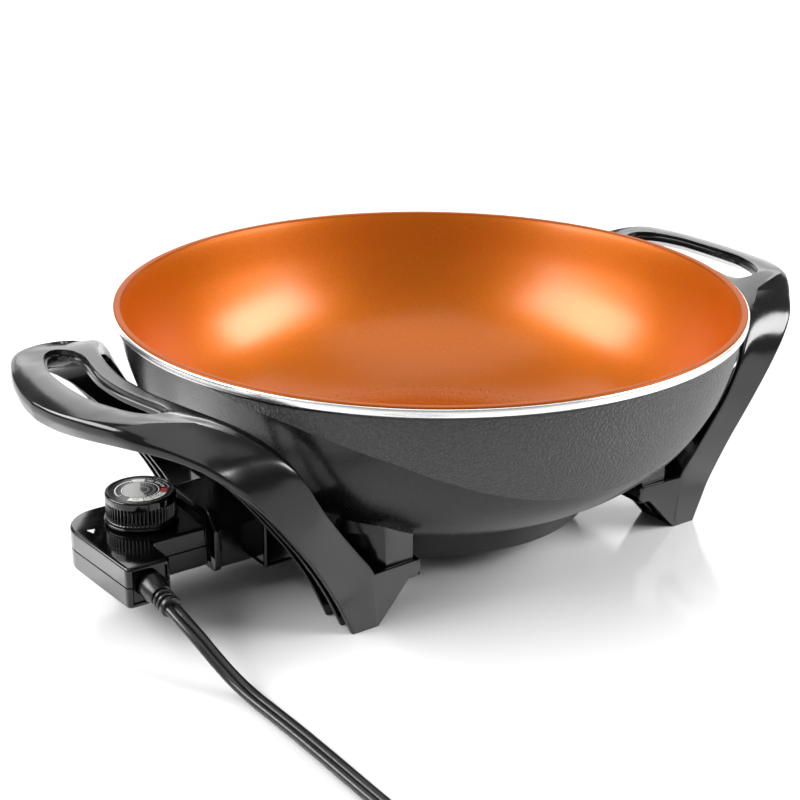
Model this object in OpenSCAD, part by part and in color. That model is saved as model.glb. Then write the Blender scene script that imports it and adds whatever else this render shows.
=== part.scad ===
// Deep round electric skillet on two arched handle-and-leg castings,
// with a plug-in temperature controller and its short mains lead.
// Millimetres. Origin on the table under the centre of the pan, +Z up,
// +X along the handles, controller on the -X side, cord towards -Y.

/* [Pan] */
// Radius of the rim over the bright edge band
rim_r = 166; // [164:0.5:168]
// Height of the bright edge band
band_h = 4; // [3:0.5:5]
// Thickness of the coloured non-stick lining
lining_t = 0.6; // [0.4:0.1:0.8]
// Radius of the round base cover
cover_r = 88; // [86:0.5:89]
// Height of the base cover above the table
cover_z = 14; // [12:0.5:15]
// Diameter of the tubular heating element
element_d = 8; // [7:0.5:8.5]

/* [Handles] */
// Reach of each handle from the pan axis
handle_reach = 226.5; // [224:0.5:230]
// Thickness of the front skin of each leg
skin_t = 3; // [2.5:0.1:3.5]
// Length of the finger slot
slot_len = 103; // [95:1:105]
// Height of the handle's upper face
handle_top = 119; // [118.5:0.5:120]

/* [Controller] */
// Top of the controller case
case_top = 41; // [40.5:0.5:42]
// Bottom of the controller case
case_bottom = 20; // [19.5:0.5:20]
// Wall thickness of the case
case_wall = 2; // [1.6:0.1:2.2]
// Diameter of the dial over its ribs
dial_d = 34.5; // [33:0.5:35.5]
// Height of the dial above the case
dial_h = 16; // [15:0.5:17]
// Diameter of the temperature probe
probe_d = 6.4; // [5.6:0.1:6.4]
// Diameter of the two terminal pins
pin_d = 5; // [4.6:0.1:5]

/* [Cord] */
// Width of the flat twin lead
cord_w = 8; // [7.5:0.1:8.2]
// Thickness of the flat twin lead
cord_t = 4.4; // [4:0.1:4.6]

/* [Hidden] */
$fn = 96;

// ---- helpers -------------------------------------------------------------
function arc(cx, cy, r, a0, a1, n) =
    [for (i = [0:n]) let (a = a0 + (a1 - a0) * i / n) [cx + r * cos(a), cy + r * sin(a)]];
function catmull(a, b, c, d, t) =
    0.5 * (2 * b + (c - a) * t + (2 * a - 5 * b + 4 * c - d) * t * t
           + (3 * b - a - 3 * c + d) * t * t * t);
function smooth(P, n) = let (m = len(P) - 1) concat(
    [for (i = [0:m - 1]) for (j = [0:n - 1])
        catmull(P[max(i - 1, 0)], P[i], P[i + 1], P[min(i + 2, m)], j / n)], [P[m]]);
function flip(P) = [for (i = [len(P) - 1:-1:0]) P[i]];
function mirror_y(P) = [for (p = P) [p[0], -p[1]]];
// a profile moved outwards along its own normals
function swell(P, d) = let (m = len(P) - 1) [for (i = [0:m])
    let (t = P[min(i + 1, m)] - P[max(i - 1, 0)], n = norm(t))
    [max(0, P[i][0] + d * t[1] / n), P[i][1] - d * t[0] / n]];
module rod(a, b, d) {
    v = b - a; l = norm(v);
    translate(a) rotate([0, acos(v[2] / l), atan2(v[1], v[0])]) cylinder(h = l, d = d);
}
// bar along X from x0 to x1
module bar_x(x0, x1, y, z, d) { translate([x0, y, z]) rotate([0, 90, 0]) cylinder(h = x1 - x0, d = d); }
// plate drawn in X and Z, filling y0 to y1
module slab_y(P, y0, y1) { translate([0, y1, 0]) rotate([90, 0, 0]) linear_extrude(y1 - y0) polygon(P); }
module box(lo, hi) { translate(lo) cube(hi - lo); }
// one closed tube swept along a route, w wide and t thick, with flat sides level
function route_dir(R, i) = let (m = len(R) - 1, v = R[min(i + 1, m)] - R[max(i - 1, 0)]) v / norm(v);
module sweep_tube(R, w, t, sides = 10) {
    m = len(R); n = sides;
    pts = [for (i = [0:m - 1]) let (d = route_dir(R, i), s0 = cross(d, [0, 0, 1]), s = s0 / norm(s0), u = cross(s, d))
           for (k = [0:n - 1]) let (a = 360 * k / n) R[i] + s * (w / 2) * cos(a) + u * (t / 2) * sin(a)];
    faces = concat(
        [[for (k = [0:n - 1]) k]],
        [for (i = [0:m - 2]) for (k = [0:n - 1]) let (k2 = (k + 1) % n) [i * n + k, (i + 1) * n + k, (i + 1) * n + k2]],
        [for (i = [0:m - 2]) for (k = [0:n - 1]) let (k2 = (k + 1) % n) [i * n + k, (i + 1) * n + k2, i * n + k2]],
        [[for (k = [n - 1:-1:0]) (m - 1) * n + k]]);
    polyhedron(points = pts, faces = faces, convexity = 8);
}

// ---- pan -----------------------------------------------------------------
kr = rim_r / 166;
floor_z = 27;                        // flat underside of the pan
function widen(P) = [for (p = P) [p[0] * kr, p[1]]];
bowl_out = smooth(widen([[88, 27], [100, 32.2], [113, 39], [127, 48.5], [141, 62], [152.3, 80], [159.5, 100], [163, 119]]), 4);
bowl_in = smooth(widen([[0, 32], [60, 32], [80, 32.2], [92, 34.4], [104, 38.8], [116, 45.2], [128, 53.8], [139.5, 65.8], [149, 82], [155.8, 101], [160, 120], [161.2, 124.6]]), 3);
lip_top = widen([[161.8, 126], [164.4, 126.2], [165.2, 125.7], [165.2, 125.35]]);
band_z1 = 125.3;
band_z0 = band_z1 - band_h;
term_y = 13;                         // terminal pins each side of the probe
term_z = 25.5;                       // height of pins and probe
ring_r = 68;
ring_z = 22;
boss_x = 86.5; boss_y = 80.5;        // handle screw positions

module element_shape(d) {            // ring open at the terminals, and its two cold ends
    a = asin(9 / ring_r);
    rotate([0, 0, a - 180]) rotate_extrude(angle = 360 - 2 * a)
        translate([ring_r, ring_z]) circle(d = d, $fn = 48);
    for (s = [-1, 1]) rod([-ring_r * cos(11) + 0.4, s * term_y, ring_z], [-97, s * term_y, term_z], d - 1.2);
}
module pan_hollow(d) {
    rotate_extrude() polygon(concat(swell(bowl_in, d), [[163.4 * kr, 125.3], [163.4 * kr, 140], [0, 140]]));
}
module pan_outline(d) {              // the outside of the bowl, grown by d
    rotate_extrude() polygon(concat([[0, floor_z - d]], swell(bowl_out, d), [[163 * kr + d, 140], [0, 140]]));
}
module boss_block() {
    slab_y([[75, 23.6], [97.3, 23.6], [97.3, 29], [104, 38.5], [108.3, 45.5], [108.3, 61], [75, 61]], 71.3, 90.2);
}
module pan_body() color([0.13, 0.13, 0.14]) difference() {
    union() {
        rotate_extrude() polygon(concat([[0, floor_z]], bowl_out,
            [[163.3 * kr, band_z0 - 1.6], [164.8 * kr, band_z0 - 0.02], [164.8 * kr, band_z1], [161 * kr, band_z1], [0, band_z1]]));
        for (sx = [0, 1], sy = [0, 1]) mirror([sx, 0, 0]) mirror([0, sy, 0]) boss_block();
        rotate_extrude() translate([ring_r - 8, 17]) square([16, 11]);
        box([-100, -7.5, 20], [-66, 7.5, 31]);
        for (a = [60, 180, 300]) rotate([0, 0, a]) translate([40, 0, cover_z + 1.4]) cylinder(h = 28 - cover_z - 1.4, d = 9, $fn = 32);
        for (s = [-1, 1]) translate([-112, s * 30, 19.6]) cylinder(h = 23, d = 9, $fn = 32);
    }
    pan_hollow(lining_t + 0.02);
    element_shape(element_d + 0.06);
    bar_x(-101, -77.5, 0, term_z, 7.2);
    for (sx = [-1, 1], sy = [-1, 1]) translate([sx * boss_x, sy * boss_y, 23]) cylinder(h = 12, d = 5.2, $fn = 32);
    for (a = [60, 180, 300]) rotate([0, 0, a]) translate([40, 0, cover_z]) cylinder(h = 25.4 - cover_z, d = 4.2, $fn = 32);
    for (s = [-1, 1]) translate([-112, s * 30, 19]) cylinder(h = 15, d = 4.2, $fn = 32);
}
module nonstick_lining() color([0.85, 0.42, 0.05]) rotate_extrude()
    polygon(concat(bowl_in, lip_top, [[163.4 * kr, 125.35]], flip(swell(bowl_in, lining_t))));
module rim_band() color([0.85, 0.85, 0.86]) rotate_extrude()
    polygon([[164.82 * kr, band_z0], [165.7 * kr, band_z0], [rim_r, band_z0 + 0.6], [rim_r, band_z1 - 0.6],
             [165.7 * kr, band_z1], [164.82 * kr, band_z1]]);
module heating_element() color([0.55, 0.5, 0.46]) element_shape(element_d);
module element_terminals() color([0.8, 0.8, 0.78]) for (s = [-1, 1]) {
    bar_x(-144.5, -97.9, s * term_y, term_z, pin_d);
    translate([-144.5, s * term_y, term_z]) rotate([0, -90, 0]) cylinder(h = 1.5, d1 = pin_d, d2 = pin_d - 2);
}
module terminal_insulators() color([0.93, 0.92, 0.88]) for (s = [-1, 1]) difference() {
    bar_x(-106, -98.2, s * term_y, term_z, 8.5);
    bar_x(-107, -97, s * term_y, term_z, pin_d + 0.2);
}

// ---- base cover ------------------------------------------------------------
module base_cover() color([0.2, 0.2, 0.21]) difference() {
    rotate_extrude() polygon([[0, cover_z], [cover_r - 2, cover_z], [cover_r, cover_z + 2], [cover_r, floor_z - 0.1],
                              [cover_r - 1.2, floor_z - 0.1], [cover_r - 1.2, cover_z + 2.4],
                              [cover_r - 2.4, cover_z + 1.2], [0, cover_z + 1.2]]);
    box([-95, -19, 18.2], [-75, 19, 30]);
    for (a = [60, 180, 300]) rotate([0, 0, a]) translate([40, 0, cover_z - 1]) cylinder(h = 4, d = 4.4, $fn = 32);
}
// pan-head screw pointing up, seat at the origin
module screw(d, l, head_d, head_h) {
    cylinder(h = l, d = d, $fn = 32);
    difference() {
        rotate_extrude($fn = 48) polygon([[0, 0], [head_d / 2, 0], [head_d / 2, -head_h * 0.55], [head_d * 0.36, -head_h], [0, -head_h]]);
        for (a = [0, 90]) rotate([0, 0, a]) translate([-head_d * 0.27, -head_d * 0.06, -head_h - 1]) cube([head_d * 0.54, head_d * 0.12, 1 + head_h * 0.5]);
    }
}
module base_cover_screws() color([0.75, 0.75, 0.75])
    for (a = [60, 180, 300]) rotate([0, 0, a]) translate([40, 0, cover_z]) screw(4, 10, 8, 2.2);

// ---- terminal shroud -------------------------------------------------------
module sleeve(x0, x1, g) {
    translate([x0, 0, 0]) rotate([90, 0, 90]) linear_extrude(x1 - x0)
        polygon([[-26 - g, 16.5 - g], [26 + g, 16.5 - g], [26 + g, 38], [20 + g, 45 + g], [-20 - g, 45 + g], [-26 - g, 38]]);
}
module terminal_shroud() color([0.06, 0.06, 0.06]) difference() {
    union() {
        sleeve(-149, -122, 0);
        sleeve(-149, -145.5, 1.2);
        box([-127, -38, 16.5], [-86, 38, 60]);
    }
    pan_outline(0.6);
    translate([0, 0, 10]) cylinder(h = 30, r = cover_r + 0.6);
    sleeve(-151, -120, -3);
    box([-124, -35, 19.5], [-80, 35, 70]);
    for (s = [-1, 1]) translate([-112, s * 30, 15]) cylinder(h = 6, d = 4.4, $fn = 32);
}
module shroud_screws() color([0.75, 0.75, 0.75])
    for (s = [-1, 1]) translate([-112, s * 30, 16.5]) screw(4, 14, 8, 2.2);

// ---- handles ---------------------------------------------------------------
// front outline of one handle, leg and foot pad: X, Z
hr = handle_reach;
leg_front = [[97, 0], [112.6, 0], [119.7, 15.8], [127.5, 30.7], [137, 46.3], [147.4, 60.3], [158, 74], [170, 86.2],
             [181, 95.4], [190.6, 101.3], [200, 104.5], [hr - 6, 104.5], [hr - 1.5, 106], [hr, 109], [hr, 114],
             [hr - 3, 117.5], [hr - 9, handle_top], [208, handle_top - 1], [190, 116.2], [177, 114.8], [166, 113.2], [160, 110.6], [153, 107.2], [147, 100.6],
             [140.5, 92.5], [135, 84], [127, 69], [118, 55], [109, 42], [100, 28.5], [76, 28.5], [73, 27], [72, 25],
             [72, 22], [74, 19.5], [79, 19.5]];
// plan outline, one half: X, Y
plan_out = [[hr, 0], [hr - 1.2, 15], [hr - 4.5, 30], [hr - 9.5, 46], [hr - 17, 60], [hr - 26, 70.5], [190.6, 80], [181, 86.6], [172, 91],
            [160, 94.4], [148, 96.2], [60, 96.2]];
plan_in = [[60, 60], [158, 62], [162.4, 60], [166, 54], [171.4, 38], [175.4, 20], [177, 0]];
// arch seen along X, one half: Y, Z
arch_out = [[93.5, -1], [93.5, 29], [94.6, 43], [95.4, 57], [95.6, 68], [95, 79], [93.4, 88], [90, 96], [85, 102.4], [78.5, 108], [70.5, 112.8], [57.5, 117.4], [38, handle_top]];
arch_in = [[38, 104.5], [46, 101], [54, 94], [60.5, 84], [65, 72], [68.5, 58], [68.5, -1]];
slot_half = [[208.8, 0], [208.4, 12], [207.2, 24], [204, 35], [200.5, 43], [196, 49], [190, 51.5], [184, 50], [180.6, 46], [180.4, 38], [183.4, 24], [185.6, 12], [186.2, 0]];
slot_shape = [for (p = concat(slot_half, flip(mirror_y(slot_half)))) [p[0], p[1] * slot_len / 103]];
// hollow under the loop, round the slot
under_slot = [for (p = slot_shape) [p[0] > 195 ? 195 + (p[0] - 195) * 1.42 : p[0] + 2, p[1] * 1.06]];
pocket = [[102, -1], [104.6, 15], [106.5, 29], [115.5, 43], [124.5, 56], [133.5, 70], [141, 82], [147, 88], [180, 88], [180, -1]];

module one_handle() difference() {
    intersection() {
        slab_y(leg_front, -97, 97);
        linear_extrude(130) polygon(concat(plan_out, plan_in, flip(mirror_y(plan_in)), flip(mirror_y(plan_out))));
        translate([60, 0, 0]) rotate([90, 0, 90]) linear_extrude(180)
            polygon(concat(arch_out, [for (p = flip(arch_out)) [-p[0], p[1]]], [for (p = flip(arch_in)) [-p[0], p[1]]], arch_in));
    }
    translate([0, 0, 95]) linear_extrude(30) polygon(slot_shape);
    translate([0, 0, 95]) linear_extrude(17.8) polygon(under_slot);
    box([160, -48, 95], [188, 48, 109.4]);
    pan_outline(1.4);
    for (m = [0, 1]) mirror([0, m, 0]) {
        slab_y(pocket, 71, 80.8);
        slab_y(pocket, 83.4, 93.5 - skin_t);
        box([74.2, 70.9, 23.5], [98.2, 90.8, 40]);
        translate([boss_x, boss_y, 18]) cylinder(h = 8, d = 5.6, $fn = 32);
        translate([boss_x, boss_y, -1]) cylinder(h = 20.5, d = 10.2, $fn = 48);
    }
}
module handle_screw_pair() for (s = [-1, 1]) translate([boss_x, s * boss_y, 19.5]) screw(5, 14, 9, 2.8);
module right_handle() color([0.05, 0.05, 0.05]) one_handle();
module left_handle() color([0.05, 0.05, 0.05]) mirror([1, 0, 0]) one_handle();
module right_handle_screws() color([0.75, 0.75, 0.75]) handle_screw_pair();
module left_handle_screws() color([0.75, 0.75, 0.75]) mirror([1, 0, 0]) handle_screw_pair();

// ---- controller ------------------------------------------------------------
seam_z = 31;
dial_x = -174;
relief_x = -193.5; relief_z = 30.7; relief_tilt = 10;
pusher_x = dial_x - 4.5;
case_plan = concat([[-151, 25.5]], arc(-187.5, 5.5, 20, 90, 180, 8), [[-204.6, -43.6], [-202.8, -45.5], [-184, -45.5], [-182.3, -44], [-182.3, -27.4], [-180.4, -25.5], [-151, -25.5]]);
w = case_wall;
case_room = concat([[-151 - w, 25.5 - w]], arc(-187.5, 5.5, 20 - w, 90, 180, 8), [[-204.6 + w, -42.6], [-184.3, -42.6], [-184.3, -25.5 + w], [-151 - w, -25.5 + w]]);
case_posts = [[-200.5, -24], [-189, 16.8], [-166, 20]];
module case_cuts() {
    box([-159.6, -20.8, 21.2], [-150, 20.8, 33.4]);
    translate([relief_x, -40, relief_z]) rotate([90, 0, 0]) cylinder(h = 8, d = 10.6, $fn = 48);
    box([-202.4, -46, 22.4], [-184.4, -44.6, case_top - 2.4]);
}
module controller_upper_case() color([0.05, 0.05, 0.05]) difference() {
    union() {
        difference() {
            translate([0, 0, seam_z + 0.05]) linear_extrude(case_top - seam_z - 0.05) polygon(case_plan);
            translate([0, 0, seam_z - 1]) linear_extrude(case_top - w - seam_z + 1) polygon(case_room);
        }
        for (p = case_posts) translate([p[0], p[1], seam_z + 0.05]) cylinder(h = case_top - seam_z - 1, d = 5.4, $fn = 32);
    }
    case_cuts();
    translate([dial_x, 0, case_top - 5]) cylinder(h = 10, d = 9.1);
    for (p = case_posts) translate([p[0], p[1], seam_z - 1]) cylinder(h = 7, d = 2.7, $fn = 32);
}
module controller_lower_case() color([0.05, 0.05, 0.05]) difference() {
    union() {
        difference() {
            translate([0, 0, case_bottom]) linear_extrude(seam_z - 0.05 - case_bottom) polygon(case_plan);
            translate([0, 0, case_bottom + w]) linear_extrude(20) polygon(case_room);
        }
        for (p = case_posts) translate([p[0], p[1], case_bottom + 1]) cylinder(h = seam_z - 1.05 - case_bottom, d = 5.4, $fn = 32);
    }
    case_cuts();
    for (p = case_posts) translate([p[0], p[1], case_bottom - 1]) {
        cylinder(h = 20, d = 2.9, $fn = 32);
        cylinder(h = 3, d = 5, $fn = 32);
    }
}
module case_screws() color([0.75, 0.75, 0.75])
    for (p = case_posts) translate([p[0], p[1], case_bottom + 2]) screw(2.5, 14, 4.6, 1.6);
module contact_carrier() color([0.28, 0.16, 0.1]) difference() {
    union() {
        box([-159, -20.5, 21.6], [-131, 20.5, 33]);
        box([-158.4, -22.6, 22.2], [-153.6, 22.6, 32]);
    }
    for (s = [-1, 1]) bar_x(-160, -130, s * term_y, term_z, 6.9);
    bar_x(-160, -130, 0, term_z, probe_d + 0.1);
}
module contact_sockets() color([0.78, 0.6, 0.28]) for (s = [-1, 1]) difference() {
    bar_x(-158, -131.6, s * term_y, term_z, 6.8);
    bar_x(-156.5, -130, s * term_y, term_z, 5.7);
}
module probe() color([0.8, 0.8, 0.8]) {
    bar_x(-163, -82.2, 0, term_z, probe_d);
    translate([-82.2, 0, term_z]) sphere(d = probe_d, $fn = 48);
    bar_x(-162.6, -159.2, 0, term_z, 6.9);
}
module thermostat_bracket() color([0.7, 0.7, 0.68]) difference() {
    union() {
        box([-197, -13, 28], [-166, 13, 29.2]);
        box([-197, -13, case_bottom + w + 0.1], [-195.8, 13, 28.5]);
        box([-167.2, -13, case_bottom + w + 0.1], [-166, 13, 28.5]);
    }
    translate([pusher_x, 0, 25]) cylinder(h = 8, d = 3.6, $fn = 32);
}
module bimetal_blade() color([0.72, 0.62, 0.45]) {
    box([-195.5, 6, 30.3], [-168, 12, 31.1]);
    translate([-193, 9, 29.25]) cylinder(h = 1.5, d = 3, $fn = 32);
}
module blade_spacer() color([0.9, 0.88, 0.82]) box([-195.6, -5, case_bottom + w + 0.1], [-189, 5, 27.9]);
module contact_blades() color([0.8, 0.5, 0.3]) {
    box([-188.9, -3, 24.2], [-173, 3, 24.7]);
    translate([-176, 0, 23.8]) cylinder(h = 0.6, d = 4, $fn = 32);
    box([-188.9, -3, 22.4], [-173, 3, 22.9]);
    translate([-176, 0, 22.7]) cylinder(h = 0.7, d = 4, $fn = 32);
}
module ceramic_pusher() color([0.95, 0.94, 0.9]) translate([pusher_x, 0, 26.6]) cylinder(h = 8.2, d = 3, $fn = 32);
wire_a = [[-195, -40.8, 30.8], [-195, -35, 30.4], [-194.6, -27, 28], [-195.6, -19, 26], [-198.6, -12, 25.2], [-199, -3, 25.2], [-198.8, 4, 25.4]];
wire_b = [[-191.8, -40.8, 30.8], [-191.4, -36, 30.4], [-189.4, -28, 28], [-186, -20, 26.6], [-178, -17, 26.2], [-168, -16, 25.8], [-160.2, -13.8, 25.5]];
module lead_wires() color([0.85, 0.85, 0.8]) { sweep_tube(smooth(wire_a, 3), 2.2, 2.2, 8); sweep_tube(smooth(wire_b, 3), 2.2, 2.2, 8); }
module shaft_bushing() color([0.78, 0.6, 0.28]) difference() {
    translate([dial_x, 0, case_top - w - 1.5]) union() {
        cylinder(h = 1.45, d = 13);
        cylinder(h = w + 3.2, d = 8.9);
    }
    translate([dial_x, 0, 30]) cylinder(h = 20, d = 6.12);
}

// ---- dial ------------------------------------------------------------------
dial_z0 = case_top + 0.8;
dial_z1 = case_top + dial_h;
ramp = 1.5;                            // travel of the pusher over the whole turn
module dial_shaft() color([0.75, 0.75, 0.74]) translate([dial_x, 0, 0]) {
    translate([0, 0, 35.3]) cylinder(h = dial_z1 - 2.6 - 35.3, d = 6);
    translate([0, 0, 35.2]) cylinder(h = 1.1, d = 15);
    // face cam: steps that deepen through the turn, starting over the pusher
    for (i = [0:23]) translate([0, 0, 35.3 - 0.1 - ramp * i / 24 - 0.1]) linear_extrude(0.2 + ramp * i / 24)
        polygon(concat(arc(0, 0, 7.4, 180 + i * 12.5, 180 + i * 12.5 + 12.6, 2), flip(arc(0, 0, 2.4, 180 + i * 12.5, 180 + i * 12.5 + 12.6, 2))));
}
module shaft_clip() color([0.7, 0.7, 0.7]) translate([dial_x, 0, case_top - w - 2.5]) difference() {
    cylinder(h = 0.8, d = 10);
    translate([0, 0, -1]) cylinder(h = 3, d = 6.02);
}
rib_n = 56;
module dial_knob() color([0.06, 0.06, 0.06]) translate([dial_x, 0, 0]) difference() {
    union() {
        translate([0, 0, dial_z0]) cylinder(h = 2.4, d = dial_d + 1.6);
        translate([0, 0, dial_z0]) linear_extrude(11.4) polygon([for (i = [0:rib_n - 1]) for (q = [[0, 0], [0.24, 1], [0.56, 1], [0.8, 0]])
            let (a = 360 * (i + q[0]) / rib_n, r = dial_d / 2 - 0.1 - 0.6 * q[1]) [r * cos(a), r * sin(a)]]);
        translate([0, 0, dial_z0 + 11]) cylinder(h = dial_z1 - dial_z0 - 11.6, d = dial_d);
        translate([0, 0, dial_z1 - 0.6]) cylinder(h = 0.6, d1 = dial_d, d2 = dial_d - 1.2);
    }
    translate([0, 0, dial_z1 - 1]) cylinder(h = 2, d = dial_d - 4);
    difference() {
        translate([0, 0, dial_z0 - 1]) cylinder(h = dial_z1 - 3.6 - dial_z0 + 1, d = dial_d - 5.4);
        translate([0, 0, dial_z0 + 2]) cylinder(h = 20, d = 11);
    }
    translate([0, 0, dial_z0 - 1]) cylinder(h = dial_z1 - 2.5 - dial_z0 + 1, d = 6.02);
}
module dial_face() color([0.1, 0.1, 0.1]) translate([dial_x, 0, dial_z1 - 0.98]) cylinder(h = 0.7, d = dial_d - 4.3);

// ---- mains lead --------------------------------------------------------------
relief_len = 21;
relief_tip = [relief_x, -45.5 - relief_len * cos(relief_tilt), relief_z - relief_len * sin(relief_tilt)];
module strain_relief() color([0.05, 0.05, 0.05]) {
    translate([relief_x, -41, relief_z]) rotate([90, 0, 0]) cylinder(h = 6.6, d = 10.2, $fn = 48);
    translate([relief_x, -41, relief_z]) rotate([90, 0, 0]) cylinder(h = 1.5, d = 13, $fn = 48);
    translate([relief_x, -45.5, relief_z]) rotate([90 + relief_tilt, 0, 0]) rotate_extrude($fn = 48)
        polygon([[0, 0.6], [6.7, 0.6], [6.9, 3], [6.5, 6], [5.6, 9], [5.3, 10.6], [4.4, 10.8], [4.4, 11.9], [5.2, 12.1], [5.2, 13.6], [4.3, 13.8],
                 [4.3, 14.9], [5.1, 15.1], [5.1, 16.6], [4.3, 16.8], [4.3, 17.9], [5.2, 18.1], [5.3, 19.6], [4.9, relief_len], [0, relief_len]]);
}
// centre of the coil, and the route from the relief to it
coil_c = [-232, -272];
coil_r = 46;
cord_route = [relief_tip, [-193, -76, 24.6], [-191, -86, 19.8], [-188, -97, 12.6], [-185, -108, 6.4], [-183, -120, 3.2], [-182, -136, 2.4],
              [-181.6, -156, 2.4], [-181.6, -180, 2.4], [-181.8, -204, 2.4], [-182, -230, 2.6], [-182, -252, 3], [-182, -268, 3.2]];
module cord_run() color([0.07, 0.07, 0.07]) sweep_tube(smooth(cord_route, 2), cord_w, cord_t, 10);
module cord_coil() color([0.07, 0.07, 0.07]) translate([coil_c[0], coil_c[1], 0.9]) rotate_extrude()
    translate([coil_r - 8.8, 0]) square([18.1, 9.1]);
tail_route = [[-234, -322, 7.6], [-244, -322.4, 7.6], [-254, -322.6, 7.8], [-264, -322.6, 8]];
module cord_tail() color([0.07, 0.07, 0.07]) sweep_tube(tail_route, cord_w, cord_t, 10);
module cord_tie() color([0.1, 0.1, 0.1]) translate([coil_c[0], coil_c[1], 0]) rotate([0, 0, 200]) difference() {
    box([coil_r - 10.4, -5, 0], [coil_r + 11, 5, 10.8]);
    box([coil_r - 9.6, -6, 0.8], [coil_r + 10.2, 6, 10.05]);
}
module plug_body() color([0.06, 0.06, 0.06]) translate([-264.2, -322.6, 8]) rotate([0, -90, 0]) {
    linear_extrude(12) polygon([[-4.2, -5.4], [4.2, -5.4], [4.2, 5.4], [-4.2, 5.4]]);
    translate([0, 0, 11.5]) linear_extrude(6) polygon([[-6, -8], [6, -8], [6, 8], [-6, 8]]);
    translate([0, 0, 17]) linear_extrude(15) polygon([[-8, -9], [-7, -10.5], [7, -10.5], [8, -9], [8, 9], [7, 10.5], [-7, 10.5], [-8, 9]]);
}
module plug_blades() color([0.8, 0.68, 0.4]) for (s = [-1, 1])
    difference() {
        box([-314, -322.6 + s * 6.35 - 0.75, 4.85], [-296.25, -322.6 + s * 6.35 + 0.75, 11.15]);
        translate([-310, -322.6, 8]) rotate([90, 0, 0]) translate([0, 0, -10]) cylinder(h = 20, d = 3, $fn = 32);
    }

pan_body();
nonstick_lining();
rim_band();
heating_element();
element_terminals();
terminal_insulators();
base_cover();
base_cover_screws();
terminal_shroud();
shroud_screws();
left_handle();
right_handle();
left_handle_screws();
right_handle_screws();
controller_upper_case();
controller_lower_case();
case_screws();
contact_carrier();
contact_sockets();
probe();
thermostat_bracket();
bimetal_blade();
blade_spacer();
contact_blades();
ceramic_pusher();
lead_wires();
shaft_bushing();
dial_shaft();
shaft_clip();
dial_knob();
dial_face();
strain_relief();
cord_run();
cord_coil();
cord_tail();
cord_tie();
plug_body();
plug_blades();
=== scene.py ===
import math

import bmesh
import bpy
import numpy as np
from mathutils import Matrix, Vector


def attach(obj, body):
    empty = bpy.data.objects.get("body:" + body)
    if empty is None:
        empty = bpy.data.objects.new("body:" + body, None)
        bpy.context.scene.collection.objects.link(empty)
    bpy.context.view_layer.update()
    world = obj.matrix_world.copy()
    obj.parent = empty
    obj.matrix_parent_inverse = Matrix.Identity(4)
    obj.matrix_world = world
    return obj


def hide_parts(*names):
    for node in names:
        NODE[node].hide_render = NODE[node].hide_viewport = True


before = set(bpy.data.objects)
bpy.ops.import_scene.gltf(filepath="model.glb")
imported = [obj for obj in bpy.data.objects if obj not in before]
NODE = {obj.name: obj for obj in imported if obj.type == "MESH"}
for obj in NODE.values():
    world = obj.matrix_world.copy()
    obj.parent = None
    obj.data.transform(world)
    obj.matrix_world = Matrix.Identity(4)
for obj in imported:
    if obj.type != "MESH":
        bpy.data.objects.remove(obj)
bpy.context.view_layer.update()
scene = bpy.context.scene
S = 0.001  # the shapes below are written in millimetres

# ---------------------------------------------------------------- camera
cam_data = bpy.data.cameras.new("camera")
cam_data.sensor_width = 36.0
cam_data.lens = 76.5
cam_data.shift_x = -0.0366
cam_data.shift_y = 0.0115
cam_data.clip_end = 50.0
cam = bpy.data.objects.new("camera", cam_data)
scene.collection.objects.link(cam)
cam_at = Vector((-0.50954, -0.68786, 0.39878))
look = (Vector((0, 0, 0.06)) - cam_at).normalized()
c_right = look.cross(Vector((0, 0, 1))).normalized()
c_up = c_right.cross(look)
roll = math.radians(0.83)
x_ax = c_right * math.cos(roll) + c_up * math.sin(roll)
y_ax = c_up * math.cos(roll) - c_right * math.sin(roll)
cam.matrix_world = Matrix((
    (x_ax.x, y_ax.x, -look.x, cam_at.x),
    (x_ax.y, y_ax.y, -look.y, cam_at.y),
    (x_ax.z, y_ax.z, -look.z, cam_at.z),
    (0, 0, 0, 1)))
scene.camera = cam


# ---------------------------------------------------------------- small tools
def crom(P, t):
    """Catmull-Rom through the rows of P at a float index t."""
    P = np.asarray(P, float)
    m = len(P) - 1
    t = min(max(t, 0.0), m)
    i = min(int(t), m - 1)
    s = t - i
    a, b, c, d = P[max(i - 1, 0)], P[i], P[i + 1], P[min(i + 2, m)]
    return 0.5 * (2 * b + (c - a) * s + (2 * a - 5 * b + 4 * c - d) * s * s + (3 * b - a - 3 * c + d) * s ** 3)


def smooth_line(P, n):
    return np.array([crom(P, i / n) for i in range((len(P) - 1) * n + 1)])


def raw(name, verts, faces, mats, index=None):
    me = bpy.data.meshes.new(name)
    me.from_pydata([(float(v[0]) * S, float(v[1]) * S, float(v[2]) * S) for v in verts], [], [list(map(int, f)) for f in faces])
    for m in mats:
        me.materials.append(m)
    if index is not None:
        me.polygons.foreach_set("material_index", np.asarray(index, np.int32))
    me.update()
    ob = bpy.data.objects.new(name, me)
    scene.collection.objects.link(ob)
    return ob


def outward(ob):
    bm = bmesh.new()
    bm.from_mesh(ob.data)
    bmesh.ops.remove_doubles(bm, verts=bm.verts, dist=1e-7)
    bmesh.ops.recalc_face_normals(bm, faces=bm.faces)
    bm.to_mesh(ob.data)
    bm.free()
    return ob


def bake(ob):
    bpy.context.view_layer.update()
    dg = bpy.context.evaluated_depsgraph_get()
    me = bpy.data.meshes.new_from_object(ob.evaluated_get(dg), preserve_all_data_layers=True, depsgraph=dg)
    old = ob.data
    ob.modifiers.clear()
    ob.data = me
    bpy.data.meshes.remove(old)
    return ob


def bevel(ob, width, seg=2, angle=30):
    m = ob.modifiers.new("edge", "BEVEL")
    m.width = width * S
    m.segments = seg
    m.limit_method = "ANGLE"
    m.angle_limit = math.radians(angle)
    m.use_clamp_overlap = True
    return bake(ob)


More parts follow.
